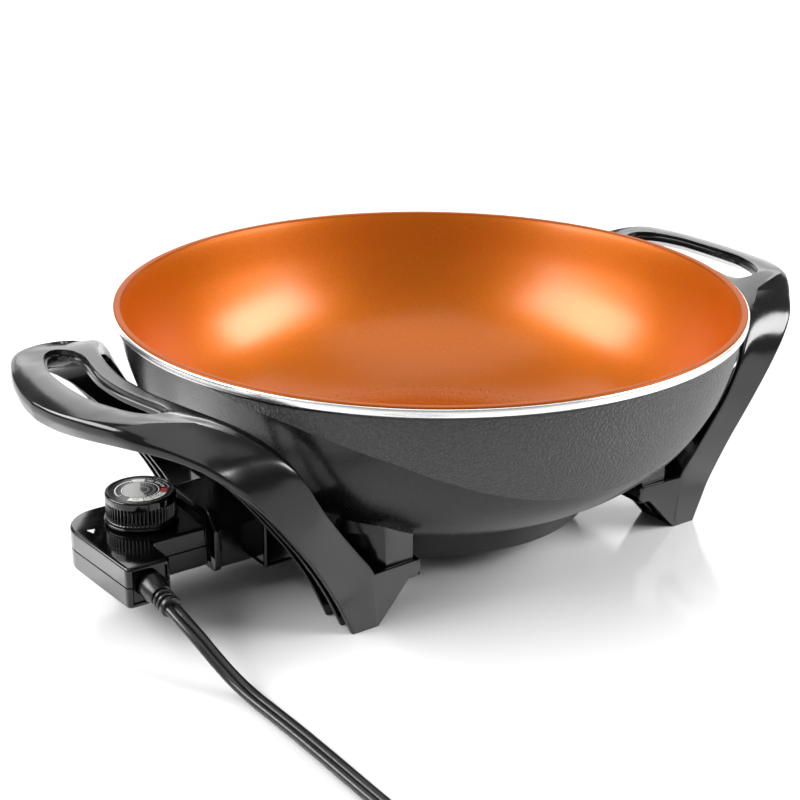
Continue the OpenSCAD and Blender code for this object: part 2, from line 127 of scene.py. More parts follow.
def cut(ob, tool):
    m = ob.modifiers.new("cut", "BOOLEAN")
    m.operation = "DIFFERENCE"
    m.solver = "EXACT"
    m.object = tool
    bake(ob)
    drop(tool)
    return ob


def drop(ob):
    me = ob.data
    bpy.data.objects.remove(ob)
    bpy.data.meshes.remove(me)


def join(name, obs, mats):
    """Several closed shells in one piece. Every shell uses the same list of materials."""
    bm = bmesh.new()
    for o in obs:
        bm.from_mesh(o.data)
    me = bpy.data.meshes.new(name)
    bm.to_mesh(me)
    bm.free()
    for m in mats:
        me.materials.append(m)
    for o in obs:
        drop(o)
    ob = bpy.data.objects.new(name, me)
    scene.collection.objects.link(ob)
    return ob


def done(ob, body, slot, *nodes, angle=35, weighted=True):
    """Smooth shading with crisp edges, flat faces kept flat, and its place in the frame."""
    me = ob.data
    me.polygons.foreach_set("use_smooth", np.ones(len(me.polygons), bool))
    me.set_sharp_from_angle(angle=math.radians(angle))
    if weighted:
        m = ob.modifiers.new("normals", "WEIGHTED_NORMAL")
        m.mode = "FACE_AREA"
        m.weight = 50
        m.keep_sharp = True
        bake(ob)
    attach(ob, body)
    if nodes:
        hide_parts(*nodes)
    return ob


def loops(rows, cap0=True, cap1=True, closed=False):
    """Quads between rings of points, with a face on each end."""
    rows = [np.asarray(r, float) for r in rows]
    n = len(rows[0])
    verts = np.concatenate(rows)
    faces = []
    last = len(rows) if closed else len(rows) - 1
    for i in range(last):
        a, b = i * n, ((i + 1) % len(rows)) * n
        for k in range(n):
            k2 = (k + 1) % n
            faces.append((a + k, a + k2, b + k2, b + k))
    if not closed and cap0:
        faces.append(tuple(range(n - 1, -1, -1)))
    if not closed and cap1:
        b = (len(rows) - 1) * n
        faces.append(tuple(range(b, b + n)))
    return verts, faces


def lathe(profile, n, closed=False):
    """Rings round Z through profile points (r, z); a point at r = 0 closes an end."""
    rows, verts, faces = [], [], []
    for r, z in profile:
        if r < 1e-9:
            rows.append([len(verts)])
            verts.append((0, 0, z))
        else:
            rows.append(list(range(len(verts), len(verts) + n)))
            for k in range(n):
                a = 2 * math.pi * k / n
                verts.append((r * math.cos(a), r * math.sin(a), z))
    pairs = list(zip(rows, rows[1:]))
    if closed:
        pairs.append((rows[-1], rows[0]))
    for a, b in pairs:
        for k in range(n):
            k2 = (k + 1) % n
            if len(a) == 1 and len(b) == 1:
                continue
            if len(a) == 1:
                faces.append((a[0], b[k2], b[k]))
            elif len(b) == 1:
                faces.append((a[k], a[k2], b[0]))
            else:
                faces.append((a[k], a[k2], b[k2], b[k]))
    return np.array(verts), faces


def round_poly(P, radii, n=6):
    """A closed 2-D outline with its corners rounded."""
    P = [np.array(p, float) for p in P]
    out = []
    m = len(P)
    for i in range(m):
        p, a, b = P[i], P[i - 1], P[(i + 1) % m]
        r = radii[i] if hasattr(radii, "__len__") else radii
        if r <= 0:
            out.append(p)
            continue
        u, v = (a - p), (b - p)
        lu, lv = np.linalg.norm(u), np.linalg.norm(v)
        u, v = u / lu, v / lv
        half = math.acos(max(-1, min(1, float(u @ v)))) / 2
        d = min(r / math.tan(half), 0.48 * lu, 0.48 * lv)
        for s in np.linspace(0, 1, n):
            A, B = p + u * d, p + v * d
            out.append((1 - s) ** 2 * A + 2 * s * (1 - s) * p + s * s * B)
    return np.array(out)


def inset(P, d):
    """An anticlockwise outline moved inwards by d along its corner normals."""
    P = np.asarray(P, float)
    a, b = np.roll(P, 1, 0), np.roll(P, -1, 0)
    u = P - a
    v = b - P
    u /= np.maximum(np.linalg.norm(u, axis=1), 1e-9)[:, None]
    v /= np.maximum(np.linalg.norm(v, axis=1), 1e-9)[:, None]
    nu = np.stack([-u[:, 1], u[:, 0]], 1)
    nv = np.stack([-v[:, 1], v[:, 0]], 1)
    m = nu + nv
    m /= np.maximum((m * nu).sum(1), 0.35)[:, None]
    return P + m * d


def flat_ring(P, z):
    return np.column_stack([P, np.full(len(P), z)])


def fillet_rows(P, z0, z1, r, steps=5, low=0.0):
    """Rings of an upright prism of outline P with its top edge rounded by r and its bottom edge by low."""
    rows = []
    if low > 0:
        rows.append(flat_ring(inset(P, low + 0.08), z0))
        for i in range(steps + 1):
            a = math.pi / 2 * i / steps
            rows.append(flat_ring(inset(P, low * (1 - math.sin(a))), z0 + low * (1 - math.cos(a))))
    else:
        rows.append(flat_ring(P, z0))
    if r > 0:
        for i in range(steps + 1):
            a = math.pi / 2 * i / steps
            rows.append(flat_ring(inset(P, r * (1 - math.cos(a))), z1 - r * (1 - math.sin(a))))
        rows.append(flat_ring(inset(P, r + 0.08), z1))
    else:
        rows.append(flat_ring(P, z1))
    return rows


def prism_y(P, y0, y1, mats, name="plate"):
    """A plate with its outline in X and Z."""
    P = np.asarray(P, float)
    n = len(P)
    verts = [(p[0], y0, p[1]) for p in P] + [(p[0], y1, p[1]) for p in P]
    faces = [tuple(range(n)), tuple(range(2 * n - 1, n - 1, -1))]
    faces += [(k, (k + 1) % n, n + (k + 1) % n, n + k) for k in range(n)]
    return outward(raw(name, verts, faces, mats))


# ---------------------------------------------------------------- materials
def material(name):
    m = bpy.data.materials.new(name)
    m.use_nodes = True
    nt = m.node_tree
    p = nt.nodes["Principled BSDF"]
    tc = nt.nodes.new("ShaderNodeTexCoord")
    return m, nt, p, tc.outputs["Object"]


def add(nt, kind, **values):
    nd = nt.nodes.new(kind)
    for k, v in values.items():
        if hasattr(nd, k):
            setattr(nd, k, v)
        else:
            nd.inputs[k].default_value = v
    return nd


def noise(nt, co, scale, detail=2.0, rough=0.5, distort=0.0):
    nd = nt.nodes.new("ShaderNodeTexNoise")
    nd.inputs["Scale"].default_value = scale
    nd.inputs["Detail"].default_value = detail
    nd.inputs["Roughness"].default_value = rough
    nd.inputs["Distortion"].default_value = distort
    nt.links.new(co, nd.inputs["Vector"])
    return nd.outputs["Fac"]


def spread(nt, fac, lo, hi, a=0.3, b=0.7):
    nd = nt.nodes.new("ShaderNodeMapRange")
    nd.inputs["From Min"].default_value = a
    nd.inputs["From Max"].default_value = b
    nd.inputs["To Min"].default_value = lo
    nd.inputs["To Max"].default_value = hi
    nt.links.new(fac, nd.inputs["Value"])
    return nd.outputs["Result"]


def ramp(nt, fac, stops):
    nd = nt.nodes.new("ShaderNodeValToRGB")
    e = nd.color_ramp.elements
    while len(e) < len(stops):
        e.new(0.5)
    for k, (pos, col) in enumerate(stops):
        e[k].position = pos
        e[k].color = (*col, 1)
    nt.links.new(fac, nd.inputs["Fac"])
    return nd.outputs["Color"]


def bump(nt, height, strength, dist, under=None):
    nd = nt.nodes.new("ShaderNodeBump")
    nd.inputs["Strength"].default_value = strength
    nd.inputs["Distance"].default_value = dist
    nt.links.new(height, nd.inputs["Height"])
    if under is not None:
        nt.links.new(under, nd.inputs["Normal"])
    return nd.outputs["Normal"]


def stretch(nt, co, scale):
    nd = nt.nodes.new("ShaderNodeMapping")
    nd.inputs["Scale"].default_value = scale
    nt.links.new(co, nd.inputs["Vector"])
    return nd.outputs["Vector"]


def mat_gloss(name, dark, light, rough=(0.10, 0.20), peel=0.05, fleck=0.0):
    """Moulded black plastic: a faint orange-peel skin, cloudy gloss and a few dull specks."""
    m, nt, p, co = material(name)
    big = noise(nt, co, 45, 3, 0.55)
    fine = noise(nt, co, 900, 2, 0.6)
    nt.links.new(ramp(nt, big, [(0.3, dark), (0.75, light)]), p.inputs["Base Color"])
    nt.links.new(spread(nt, big, *rough), p.inputs["Roughness"])
    b1 = bump(nt, noise(nt, co, 260, 2, 0.5), peel, 0.0004)
    nt.links.new(bump(nt, fine, peel * 0.6 + fleck, 0.0001, b1), p.inputs["Normal"])
    p.inputs["Specular IOR Level"].default_value = 0.5
    return m


def mat_metal(name, dark, light, rough, scale, stretch_by=(1, 1, 1), bump_s=0.1):
    m, nt, p, co = material(name)
    v = stretch(nt, co, stretch_by)
    f = noise(nt, v, scale, 4, 0.6)
    nt.links.new(ramp(nt, f, [(0.25, dark), (0.75, light)]), p.inputs["Base Color"])
    nt.links.new(spread(nt, f, *rough), p.inputs["Roughness"])
    nt.links.new(bump(nt, f, bump_s, 0.0002), p.inputs["Normal"])
    p.inputs["Metallic"].default_value = 1.0
    return m


def mat_matte(name, dark, light, rough=(0.5, 0.65), scale=300, bump_s=0.15, dist=0.0003):
    m, nt, p, co = material(name)
    f = noise(nt, co, scale, 3, 0.6)
    g = noise(nt, co, 40, 2, 0.5)
    nt.links.new(ramp(nt, g, [(0.3, dark), (0.7, light)]), p.inputs["Base Color"])
    nt.links.new(spread(nt, f, *rough), p.inputs["Roughness"])
    nt.links.new(bump(nt, f, bump_s, dist), p.inputs["Normal"])
    return m


def mat_copper(name, low, high, coat):
    """Satin copper-coloured non-stick: a fine metallic speckle in an orange ground."""
    m, nt, p, co = material(name)
    speck = noise(nt, co, 1500, 2, 0.7)
    cloud = noise(nt, co, 14, 3, 0.5)
    ground = ramp(nt, cloud, [(0.25, low), (0.75, high)])
    dots = ramp(nt, speck, [(0.36, (0.80, 0.78, 0.76)), (0.50, (0.98, 0.98, 0.98)), (0.58, (1.0, 1.0, 1.0)), (0.68, (1.40, 1.55, 1.2))])
    mix = nt.nodes.new("ShaderNodeMix")
    mix.data_type = "RGBA"
    mix.blend_type = "MULTIPLY"
    mix.inputs["Factor"].default_value = 0.6
    nt.links.new(ground, mix.inputs["A"])
    nt.links.new(dots, mix.inputs["B"])
    nt.links.new(mix.outputs["Result"], p.inputs["Base Color"])
    nt.links.new(spread(nt, speck, 0.43, 0.53), p.inputs["Roughness"])
    nt.links.new(bump(nt, speck, 0.12, 0.00012), p.inputs["Normal"])
    p.inputs["Metallic"].default_value = 0.64
    p.inputs["Specular IOR Level"].default_value = 0.05
    p.inputs["Specular Tint"].default_value = (1.0, 0.5, 0.05, 1.0)
    p.inputs["Coat Weight"].default_value = coat
    p.inputs["Coat Roughness"].default_value = 0.27
    return m


def mat_grain():
    """Dark paint over a leather-like casting grain of about a millimetre and a half."""
    m, nt, p, co = material("grained_paint")
    warp = nt.nodes.new("ShaderNodeTexNoise")
    warp.inputs["Scale"].default_value = 330
    warp.inputs["Detail"].default_value = 2
    nt.links.new(co, warp.inputs["Vector"])
    shift = nt.nodes.new("ShaderNodeVectorMath")
    shift.operation = "MULTIPLY_ADD"
    nt.links.new(warp.outputs["Color"], shift.inputs[0])
    shift.inputs[1].default_value = (0.0016, 0.0016, 0.0016)
    nt.links.new(co, shift.inputs[2])
    vor = nt.nodes.new("ShaderNodeTexVoronoi")
    vor.feature = "SMOOTH_F1"
    vor.inputs["Scale"].default_value = 760
    vor.inputs["Smoothness"].default_value = 0.35
    nt.links.new(shift.outputs[0], vor.inputs["Vector"])
    cells = vor.outputs["Distance"]
    fine = noise(nt, co, 1100, 3, 0.6)
    nt.links.new(ramp(nt, cells, [(0.1, (0.041, 0.042, 0.0415)), (0.6, (0.021, 0.0213, 0.0213))]), p.inputs["Base Color"])
    nt.links.new(spread(nt, fine, 0.30, 0.46), p.inputs["Roughness"])
    b1 = bump(nt, cells, 0.7, 0.0006)
    nt.links.new(bump(nt, fine, 0.25, 0.00025, b1), p.inputs["Normal"])
    p.inputs["Specular IOR Level"].default_value = 0.55
    return m


def mat_smooth_paint():
    m, nt, p, co = material("smooth_paint")
    cloud = noise(nt, co, 30, 3, 0.5)
    fine = noise(nt, co, 1300, 2, 0.6)
    nt.links.new(ramp(nt, cloud, [(0.3, (0.004, 0.0042, 0.0042)), (0.7, (0.0058, 0.006, 0.006))]), p.inputs["Base Color"])
    nt.links.new(spread(nt, fine, 0.20, 0.29), p.inputs["Roughness"])
    nt.links.new(bump(nt, fine, 0.08, 0.00012), p.inputs["Normal"])
    p.inputs["Specular IOR Level"].default_value = 0.38
    return m


def mat_turned():
    """Bare aluminium edge: fine lines round the pan."""
    m, nt, p, co = material("turned_aluminium")
    v = stretch(nt, co, (1, 1, 260))
    f = noise(nt, v, 22, 4, 0.6)
    g = noise(nt, co, 60, 3, 0.5)
    nt.links.new(ramp(nt, g, [(0.25, (0.80, 0.80, 0.79)), (0.75, (0.92, 0.92, 0.92))]), p.inputs["Base Color"])
    nt.links.new(spread(nt, f, 0.20, 0.34), p.inputs["Roughness"])
    nt.links.new(bump(nt, f, 0.10, 0.00015), p.inputs["Normal"])
    p.inputs["Metallic"].default_value = 1.0
    return m


def mat_print(name, dark, light, rough=0.4):
    m, nt, p, co = material(name)
    f = noise(nt, co, 1200, 2, 0.6)
    nt.links.new(ramp(nt, f, [(0.3, dark), (0.7, light)]), p.inputs["Base Color"])
    nt.links.new(spread(nt, f, rough - 0.06, rough + 0.06), p.inputs["Roughness"])
    return m


M_COPPER = mat_copper("copper_nonstick", (0.425, 0.099, 0.0001), (0.478, 0.112, 0.0002), 0.72)
M_LIP_SHADED = mat_copper("copper_lip_painted_shade", (0.255, 0.055, 0.0001), (0.285, 0.062, 0.0002), 0.24)  # a darker copy of the copper colour, painted shade over the lip; its coat is also thinner
M_GRAIN = mat_grain()
M_PAINT = mat_smooth_paint()
M_RIM = mat_turned()
M_HANDLE = mat_gloss("handle_gloss", (0.0022, 0.0023, 0.0023), (0.0036, 0.0037, 0.0037), (0.13, 0.21), 0.03)
M_CASE = mat_gloss("case_gloss", (0.0012, 0.0012, 0.0012), (0.0022, 0.0022, 0.0022), (0.07, 0.13), 0.03)
M_SHROUD = mat_gloss("shroud_gloss", (0.0012, 0.0012, 0.0012), (0.0022, 0.0022, 0.0022), (0.10, 0.17), 0.04)
M_COVER = mat_matte("cover_paint", (0.012, 0.012, 0.0125), (0.018, 0.018, 0.0185), (0.42, 0.55), 700, 0.12, 0.0002)
M_PVC = mat_matte("lead_pvc", (0.0035, 0.0035, 0.0037), (0.006, 0.006, 0.0062), (0.26, 0.38), 900, 0.1, 0.0002)
M_TIE = mat_matte("tie_strap", (0.02, 0.02, 0.02), (0.032, 0.032, 0.033), (0.55, 0.75), 1500, 0.4, 0.0003)
M_STEEL = mat_metal("plated_steel", (0.56, 0.56, 0.55), (0.72, 0.72, 0.71), (0.22, 0.38), 500)
M_ELEMENT = mat_metal("element_sheath", (0.20, 0.17, 0.15), (0.38, 0.34, 0.30), (0.35, 0.55), 300)
M_BRASS = mat_metal("brass", (0.66, 0.47, 0.20), (0.80, 0.60, 0.30), (0.2, 0.34), 500)
M_BIMETAL = mat_metal("bimetal", (0.52, 0.44, 0.30), (0.66, 0.57, 0.42), (0.25, 0.4), 500)
M_COPPERALLOY = mat_metal("contact_alloy", (0.62, 0.34, 0.20), (0.78, 0.46, 0.28), (0.22, 0.38), 500)
M_CERAMIC = mat_matte("ceramic", (0.76, 0.74, 0.69), (0.84, 0.83, 0.78), (0.45, 0.6), 900, 0.12, 0.0002)
M_WIRE = mat_matte("wire_sleeve", (0.62, 0.61, 0.57), (0.74, 0.73, 0.69), (0.6, 0.75), 1600, 0.3, 0.0002)
M_BROWN = mat_matte("carrier_phenolic", (0.010, 0.0085, 0.008), (0.017, 0.014, 0.012), (0.35, 0.5), 500, 0.1, 0.0002)
M_FACE = mat_print("dial_black", (0.010, 0.010, 0.010), (0.016, 0.016, 0.016), 0.22)
M_WHITE = mat_print("dial_white", (0.66, 0.66, 0.64), (0.78, 0.78, 0.76), 0.38)
M_RED = mat_print("dial_red", (0.40, 0.006, 0.006), (0.52, 0.012, 0.012), 0.36)
M_SILVER = mat_metal("dial_silver", (0.42, 0.42, 0.41), (0.62, 0.62, 0.61), (0.3, 0.44), 900)

for node, m in {
        "heating_element": M_ELEMENT, "element_terminals": M_STEEL, "terminal_insulators": M_CERAMIC,
        "base_cover_screws": M_STEEL, "shroud_screws": M_STEEL, "left_handle_screws": M_STEEL,
        "right_handle_screws": M_STEEL, "case_screws": M_STEEL, "contact_carrier": M_BROWN,
        "contact_sockets": M_BRASS, "probe": M_STEEL, "thermostat_bracket": M_STEEL, "bimetal_blade": M_BIMETAL,
        "blade_spacer": M_CERAMIC, "contact_blades": M_COPPERALLOY, "ceramic_pusher": M_CERAMIC,
        "lead_wires": M_WIRE, "shaft_bushing": M_BRASS, "dial_shaft": M_STEEL, "shaft_clip": M_STEEL,
        "plug_blades": M_BRASS}.items():
    me = NODE[node].data
    me.materials.clear()
    me.materials.append(m)

# ---------------------------------------------------------------- mains lead
RELIEF_AT = np.array([-193.5, -45.5, 30.7])
TILT = math.radians(10)
RELIEF_L = 21.0
tip = RELIEF_AT + RELIEF_L * np.array([0, -math.cos(TILT), -math.sin(TILT)])
route = [tip, (-193, -76, 24.6), (-191, -86, 19.8), (-188, -97, 12.6), (-185, -108, 6.4), (-183, -120, 3.2),
         (-182, -136, 2.4), (-181.6, -156, 2.4), (-181.6, -180, 2.4), (-181.8, -204, 2.4), (-182, -230, 2.6),
         (-182, -252, 3.0), (-182, -268, 3.2)]
line = [p for p in smooth_line(np.array([list(p) for p in route], float), 5)]
coil = np.array([-232.0, -272.0])


def ease(a, b, t):
    t = min(max(t, 0.0), 1.0)
    return a + (b - a) * t * t * (3 - 2 * t)


for i in range(1, 136):
    a = 6.0 * i  # degrees travelled clockwise
    if a <= 360:
        r, z = ease(50, 41.5, a / 340), 3.2
    else:
        r = 41.5 if a < 430 else ease(41.5, 50, (a - 430) / 270)
        z = ease(3.2, 7.7, (a - 330) / 110)
    if a > 720:
        r = ease(50, 50.4, (a - 720) / 90)
    if a > 330 and a <= 360:
        z = ease(3.2, 7.7, (a - 330) / 110)
    ang = math.radians(-a)
    line.append(np.array([coil[0] + r * math.cos(ang), coil[1] + r * math.sin(ang), z]))
for p in [(-238, -322.55, 7.75), (-244, -322.6, 7.8), (-250, -322.6, 7.85), (-257, -322.6, 7.95), (-264.6, -322.6, 8.0)]:
    line.append(np.array(p, float))
line = np.array(line)


def twin_section(w=8.0, t=4.4, n=28):
    """Two round cores side by side with a shallow valley on each flat."""
    pts = []
    off = (w - t) / 2
    for k in range(n):
        a = 2 * math.pi * k / n
        x, y = math.cos(a), math.sin(a)
        X = (w / 2) * math.copysign(abs(x) ** 0.85, x)
        c = off if X >= 0 else -off
        d = max(0.0, 1 - ((abs(X) - off) / (t / 2)) ** 2)
        Y = math.copysign((t / 2) * math.sqrt(d), y)
        pts.append((X, Y * (1.0 if abs(X) > 0.9 else 0.94)))
    return np.array(pts)


def sweep(path, section, name, mats):
    rows = []
    m = len(path)
    for i in range(m):
        d = path[min(i + 1, m - 1)] - path[max(i - 1, 0)]
        d /= np.linalg.norm(d)
        s = np.cross(d, [0, 0, 1.0])
        s /= np.linalg.norm(s)
        u = np.cross(s, d)
        rows.append(path[i] + section[:, :1] * s + section[:, 1:] * u)
    v, f = loops(rows)
    return outward(raw(name, v, f, mats))


cord = sweep(line, twin_section(), "mains_lead", [M_PVC])
done(cord, "controller", "black_pvc", "cord_run", "cord_coil", "cord_tail", angle=60, weighted=False)


# strain relief: dome, three ribs and a flared mouth, along its own tilted axis
def along_relief(v):
    ax = np.array([0, -math.cos(TILT), -math.sin(TILT)])
    sx = np.array([1.0, 0, 0])
    up = np.cross(sx, ax)
    return RELIEF_AT + v[:, :1] * sx + v[:, 1:2] * up + v[:, 2:3] * ax


prof = [(0, -3.4), (5.0, -3.4), (5.05, 0.2), (5.6, 0.45), (6.35, 0.55), (6.75, 0.9), (6.9, 1.8), (6.88, 3.2), (6.7, 5.0), (6.3, 7.0),
        (5.85, 8.7), (5.45, 10.0), (5.25, 10.55), (4.7, 10.72), (3.85, 10.9), (3.7, 11.4), (3.85, 11.9), (4.75, 12.05), (5.1, 12.2), (5.22, 12.6),
        (5.22, 13.1), (5.1, 13.5), (4.7, 13.7), (3.85, 13.85), (3.7, 14.35), (3.85, 14.85), (4.7, 15.03), (5.05, 15.2), (5.15, 15.6), (5.15, 16.1),
        (5.02, 16.5), (4.65, 16.7), (3.85, 16.85), (3.7, 17.35), (3.85, 17.85), (4.75, 18.05), (5.15, 18.25), (5.3, 18.8), (5.3, 19.8), (5.2, 20.4),
        (4.95, 20.85), (4.6, 20.98), (0, 20.98)]
v, f = lathe(prof, 48)
relief = outward(raw("strain_relief_boot", along_relief(v), f, [M_PVC]))
done(relief, "controller", "black_pvc", "strain_relief", angle=50, weighted=False)

# tie round the coil
a200 = math.radians(200)
er, et = np.array([math.cos(a200), math.sin(a200)]), np.array([-math.sin(a200), math.cos(a200)])
ring = round_poly([(35.7, 0.05), (56.9, 0.05), (56.9, 10.7), (35.7, 10.7)], 2.2, 6)
outer, inner = ring, inset(ring, 0.7)
strip = []
for P, w in [(outer, -4.7), (outer, -4.0), (outer, 0.0), (outer, 4.0), (outer, 4.7), (inner, 4.7), (inner, 0.0), (inner, -4.7)]:
    strip.append(np.array([(coil[0] + er[0] * p[0] + et[0] * w, coil[1] + er[1] * p[0] + et[1] * w, p[1]) for p in P]))
v, f = loops(strip, closed=True)
tie_a = outward(raw("tie_a", v, f, [M_TIE]))
tabp = round_poly([(46, -3.9), (54, -3.9), (54, 3.9), (46, 3.9)], 1.2, 4)
v, f = loops([flat_ring(tabp, 10.55), flat_ring(tabp, 10.75), flat_ring(inset(tabp, 0.15), 10.8)])
v = np.column_stack([coil[0] + er[0] * v[:, 0] + et[0] * v[:, 1], coil[1] + er[1] * v[:, 0] + et[1] * v[:, 1], v[:, 2]])
tie_b = outward(raw("tie_b", v, f, [M_TIE]))
tie = done(join("coil_tie", [tie_a, tie_b], [M_TIE]), "controller", "black_pvc", "cord_tie", angle=40)


# plug: ribbed neck growing into a flat body with finger ridges
def superell(w, h, n=40, e=4.0):
    pts = []
    for k in range(n):
        a = 2 * math.pi * (k + 0.5) / n
        c, s = math.cos(a), math.sin(a)
        pts.append((w / 2 * math.copysign(abs(c) ** (2 / e), c), h / 2 * math.copysign(abs(s) ** (2 / e), s)))
    return np.array(pts)


sects = [(0.0, 8.6, 6.0), (0.3, 9.2, 6.6), (1.6, 9.4, 6.8), (1.8, 8.4, 6.0), (2.8, 8.4, 6.0), (3.0, 9.7, 7.0), (4.4, 9.9, 7.2), (4.6, 8.7, 6.2),
         (5.6, 8.7, 6.2), (5.8, 10.1, 7.4), (7.2, 10.3, 7.6), (7.4, 9.0, 6.6), (8.4, 9.0, 6.6), (8.7, 10.6, 8.0), (11.0, 11.0, 8.4), (13.0, 13.0, 10.0),
         (15.0, 15.6, 11.9), (17.5, 18.8, 14.2), (19.0, 20.3, 15.3), (20.5, 20.9, 15.8), (22.0, 20.6, 15.3), (22.4, 20.2, 14.9), (23.2, 20.2, 14.9),
         (23.6, 20.7, 15.4), (24.6, 20.7, 15.4), (25.0, 20.2, 14.9), (25.8, 20.2, 14.9), (26.2, 20.7, 15.5), (27.2, 20.7, 15.5), (27.6, 20.3, 15.0),
         (28.4, 20.3, 15.0), (28.8, 20.9, 15.8), (31.2, 20.9, 15.8), (31.7, 20.5, 15.4), (32.0, 19.6, 14.6), (32.0, 18.9, 13.9)]
rows = []
for x, w, h in sects:
    P = superell(w, h)
    rows.append(np.column_stack([np.full(len(P), -264.2 - x), -322.6 + P[:, 0], 8.0 + P[:, 1]]))
v, f = loops(rows)
plug = outward(raw("mains_plug", v, f, [M_PVC]))
done(plug, "controller", "black_pvc", "plug_body", angle=45, weighted=False)

# ---------------------------------------------------------------- bowl
OUT = smooth_line([(88, 27), (100, 32.2), (113, 39), (127, 48.5), (141, 62), (152.3, 80), (159.5, 100), (163, 119)], 10)


def bowl_r(z):
    return float(np.interp(z, OUT[:, 1], OUT[:, 0]))


IN = smooth_line([(0, 32), (60, 32), (80, 32.2), (92, 34.4), (104, 38.8), (116, 45.2), (128, 53.8), (139.5, 65.8), (149, 82), (155.8, 101), (160, 120), (161.2, 124.6)], 6)


def in_back(d):
    """The inner profile moved into the wall by d."""
    t = np.gradient(IN, axis=0)
    t /= np.linalg.norm(t, axis=1)[:, None]
    P = IN + np.stack([t[:, 1], -t[:, 0]], 1) * d
    P[0, 0] = 0.0
    return [(float(max(r, 0.0)), float(z)) for r, z in P]


# the grain ends below in one long scallop on each side
EDGE = np.array([(0, 64.5), (12, 67.6), (22, 74.0), (31, 82.8), (42, 95.4), (56, 107.6), (66, 114.3), (74, 118.4), (90, 118.8)])


def grain_edge(theta):
    d = abs(abs(theta) - 90.0)
    i = np.interp(d, EDGE[:, 0], np.arange(len(EDGE)))
    return float(crom(EDGE, float(i))[1])


N = 360
s_all = np.concatenate([[0], np.cumsum(np.linalg.norm(np.diff(OUT, axis=0), axis=1))])


def on_profile(s):
    return np.interp(s, s_all, OUT[:, 0]), np.interp(s, s_all, OUT[:, 1])


def s_of_z(z):
    return float(np.interp(z, OUT[:, 1], s_all))


LOW, HIGH = 26, 22
rows, kinds = [], []
bottom = [(0.0, 27.0), (40.0, 27.0), (80.0, 27.0), (86.5, 27.0)]
for r, z in bottom[1:]:
    rows.append([(r * math.cos(2 * math.pi * k / N), r * math.sin(2 * math.pi * k / N), z) for k in range(N)])
grid = []
for j in range(LOW + HIGH + 2):
    ring_pts = []
    for k in range(N):
        th = 2 * math.pi * k / N
        deg = math.degrees(math.atan2(math.sin(th), math.cos(th)))
        se = s_of_z(grain_edge(deg))
        if j <= LOW:
            s = se * j / LOW
            lift = 0.0
        else:
            q = (j - LOW - 1) / HIGH
            s = se + 0.25 + (s_all[-1] - se - 0.25) * q
            fade = min(1.0, (s_all[-1] - s) / 4.0)
            lift = 0.22 * fade
        r, z = on_profile(s)
        r2, z2 = on_profile(min(s + 0.5, s_all[-1]))
        r1, z1 = on_profile(max(s - 0.5, 0))
        t = np.array([r2 - r1, z2 - z1])
        t /= np.linalg.norm(t)
        r, z = r + lift * t[1], z - lift * t[0]
        ring_pts.append((r * math.cos(th), r * math.sin(th), z))
    rows.append(ring_pts)
back = in_back(0.8)
rim_prof = [(163.25, 119.7), (163.7, 120.4), (164.3, 121.0), (164.8, 121.28), (164.8, 123.4), (164.8, 125.3), (163.4, 125.3)]
rim_prof += [q for q in back[::-1] if q[0] > 30]
for r, z in rim_prof:
    rows.append([(r * math.cos(2 * math.pi * k / N), r * math.sin(2 * math.pi * k / N), z) for k in range(N)])
verts = [(0, 0, 27.0)]
index = []
faces = []
base = 1
for rr in rows:
    verts.extend(rr)
for k in range(N):
    faces.append((0, base + (k + 1) % N, base + k))
    index.append(1)
for j in range(len(rows) - 1):
    a, b = base + j * N, base + (j + 1) * N
    grained = 3 + LOW < j < 3 + LOW + HIGH + 1
    for k in range(N):
        k2 = (k + 1) % N
        faces.append((a + k, a + k2, b + k2, b + k))
        index.append(0 if grained else 1)
top = len(verts)
verts.append((0, 0, 31.2))
a = base + (len(rows) - 1) * N
for k in range(N):
    faces.append((a + k, a + (k + 1) % N, top))
    index.append(1)
PAN_MATS = [M_GRAIN, M_PAINT, M_HANDLE]
bowl = raw("bowl_shell", verts, faces, PAN_MATS, index)
shells = [bowl]
# handle bosses under the bowl, their upper ends inside its wall
for sx in (-1, 1):
    for sy in (-1, 1):
        rows = []
        for y in (71.6, 74.5, 77.2, 79.0, 80.8, 82.8, 84.6, 86.4, 88.2, 90.0):
            d = 90.0 - y  # the outer front corner is cut off

            def up(x):
                return float(np.interp(math.hypot(x, y), OUT[:, 0], OUT[:, 1])) + 1.6
            xa, xb, xc = min(97.2, 91.2 + 1.1 * d), min(103.4, 91.4 + 1.2 * d), min(108.0, 91.8 + 1.29 * d)
            P = round_poly([(75.2, 23.7), (xa, 23.7), (xa, 29.5), (xb, 38.2), (xc, 46.0), (xc, up(xc)), (90.0, up(90.0)), (75.2, up(75.2))],
                           [1.2, 1.2, 2.5, 2.5, 2.5, 0, 0, 0], 4)
            rows.append([(sx * p[0], sy * y, p[1]) for p in P])
        v, f = loops(rows)
        b = outward(raw("boss", v, f, PAN_MATS))
        b.data.polygons.foreach_set("material_index", np.full(len(b.data.polygons), 2, np.int32))
        shells.append(bevel(b, 1.4, 3, 60))
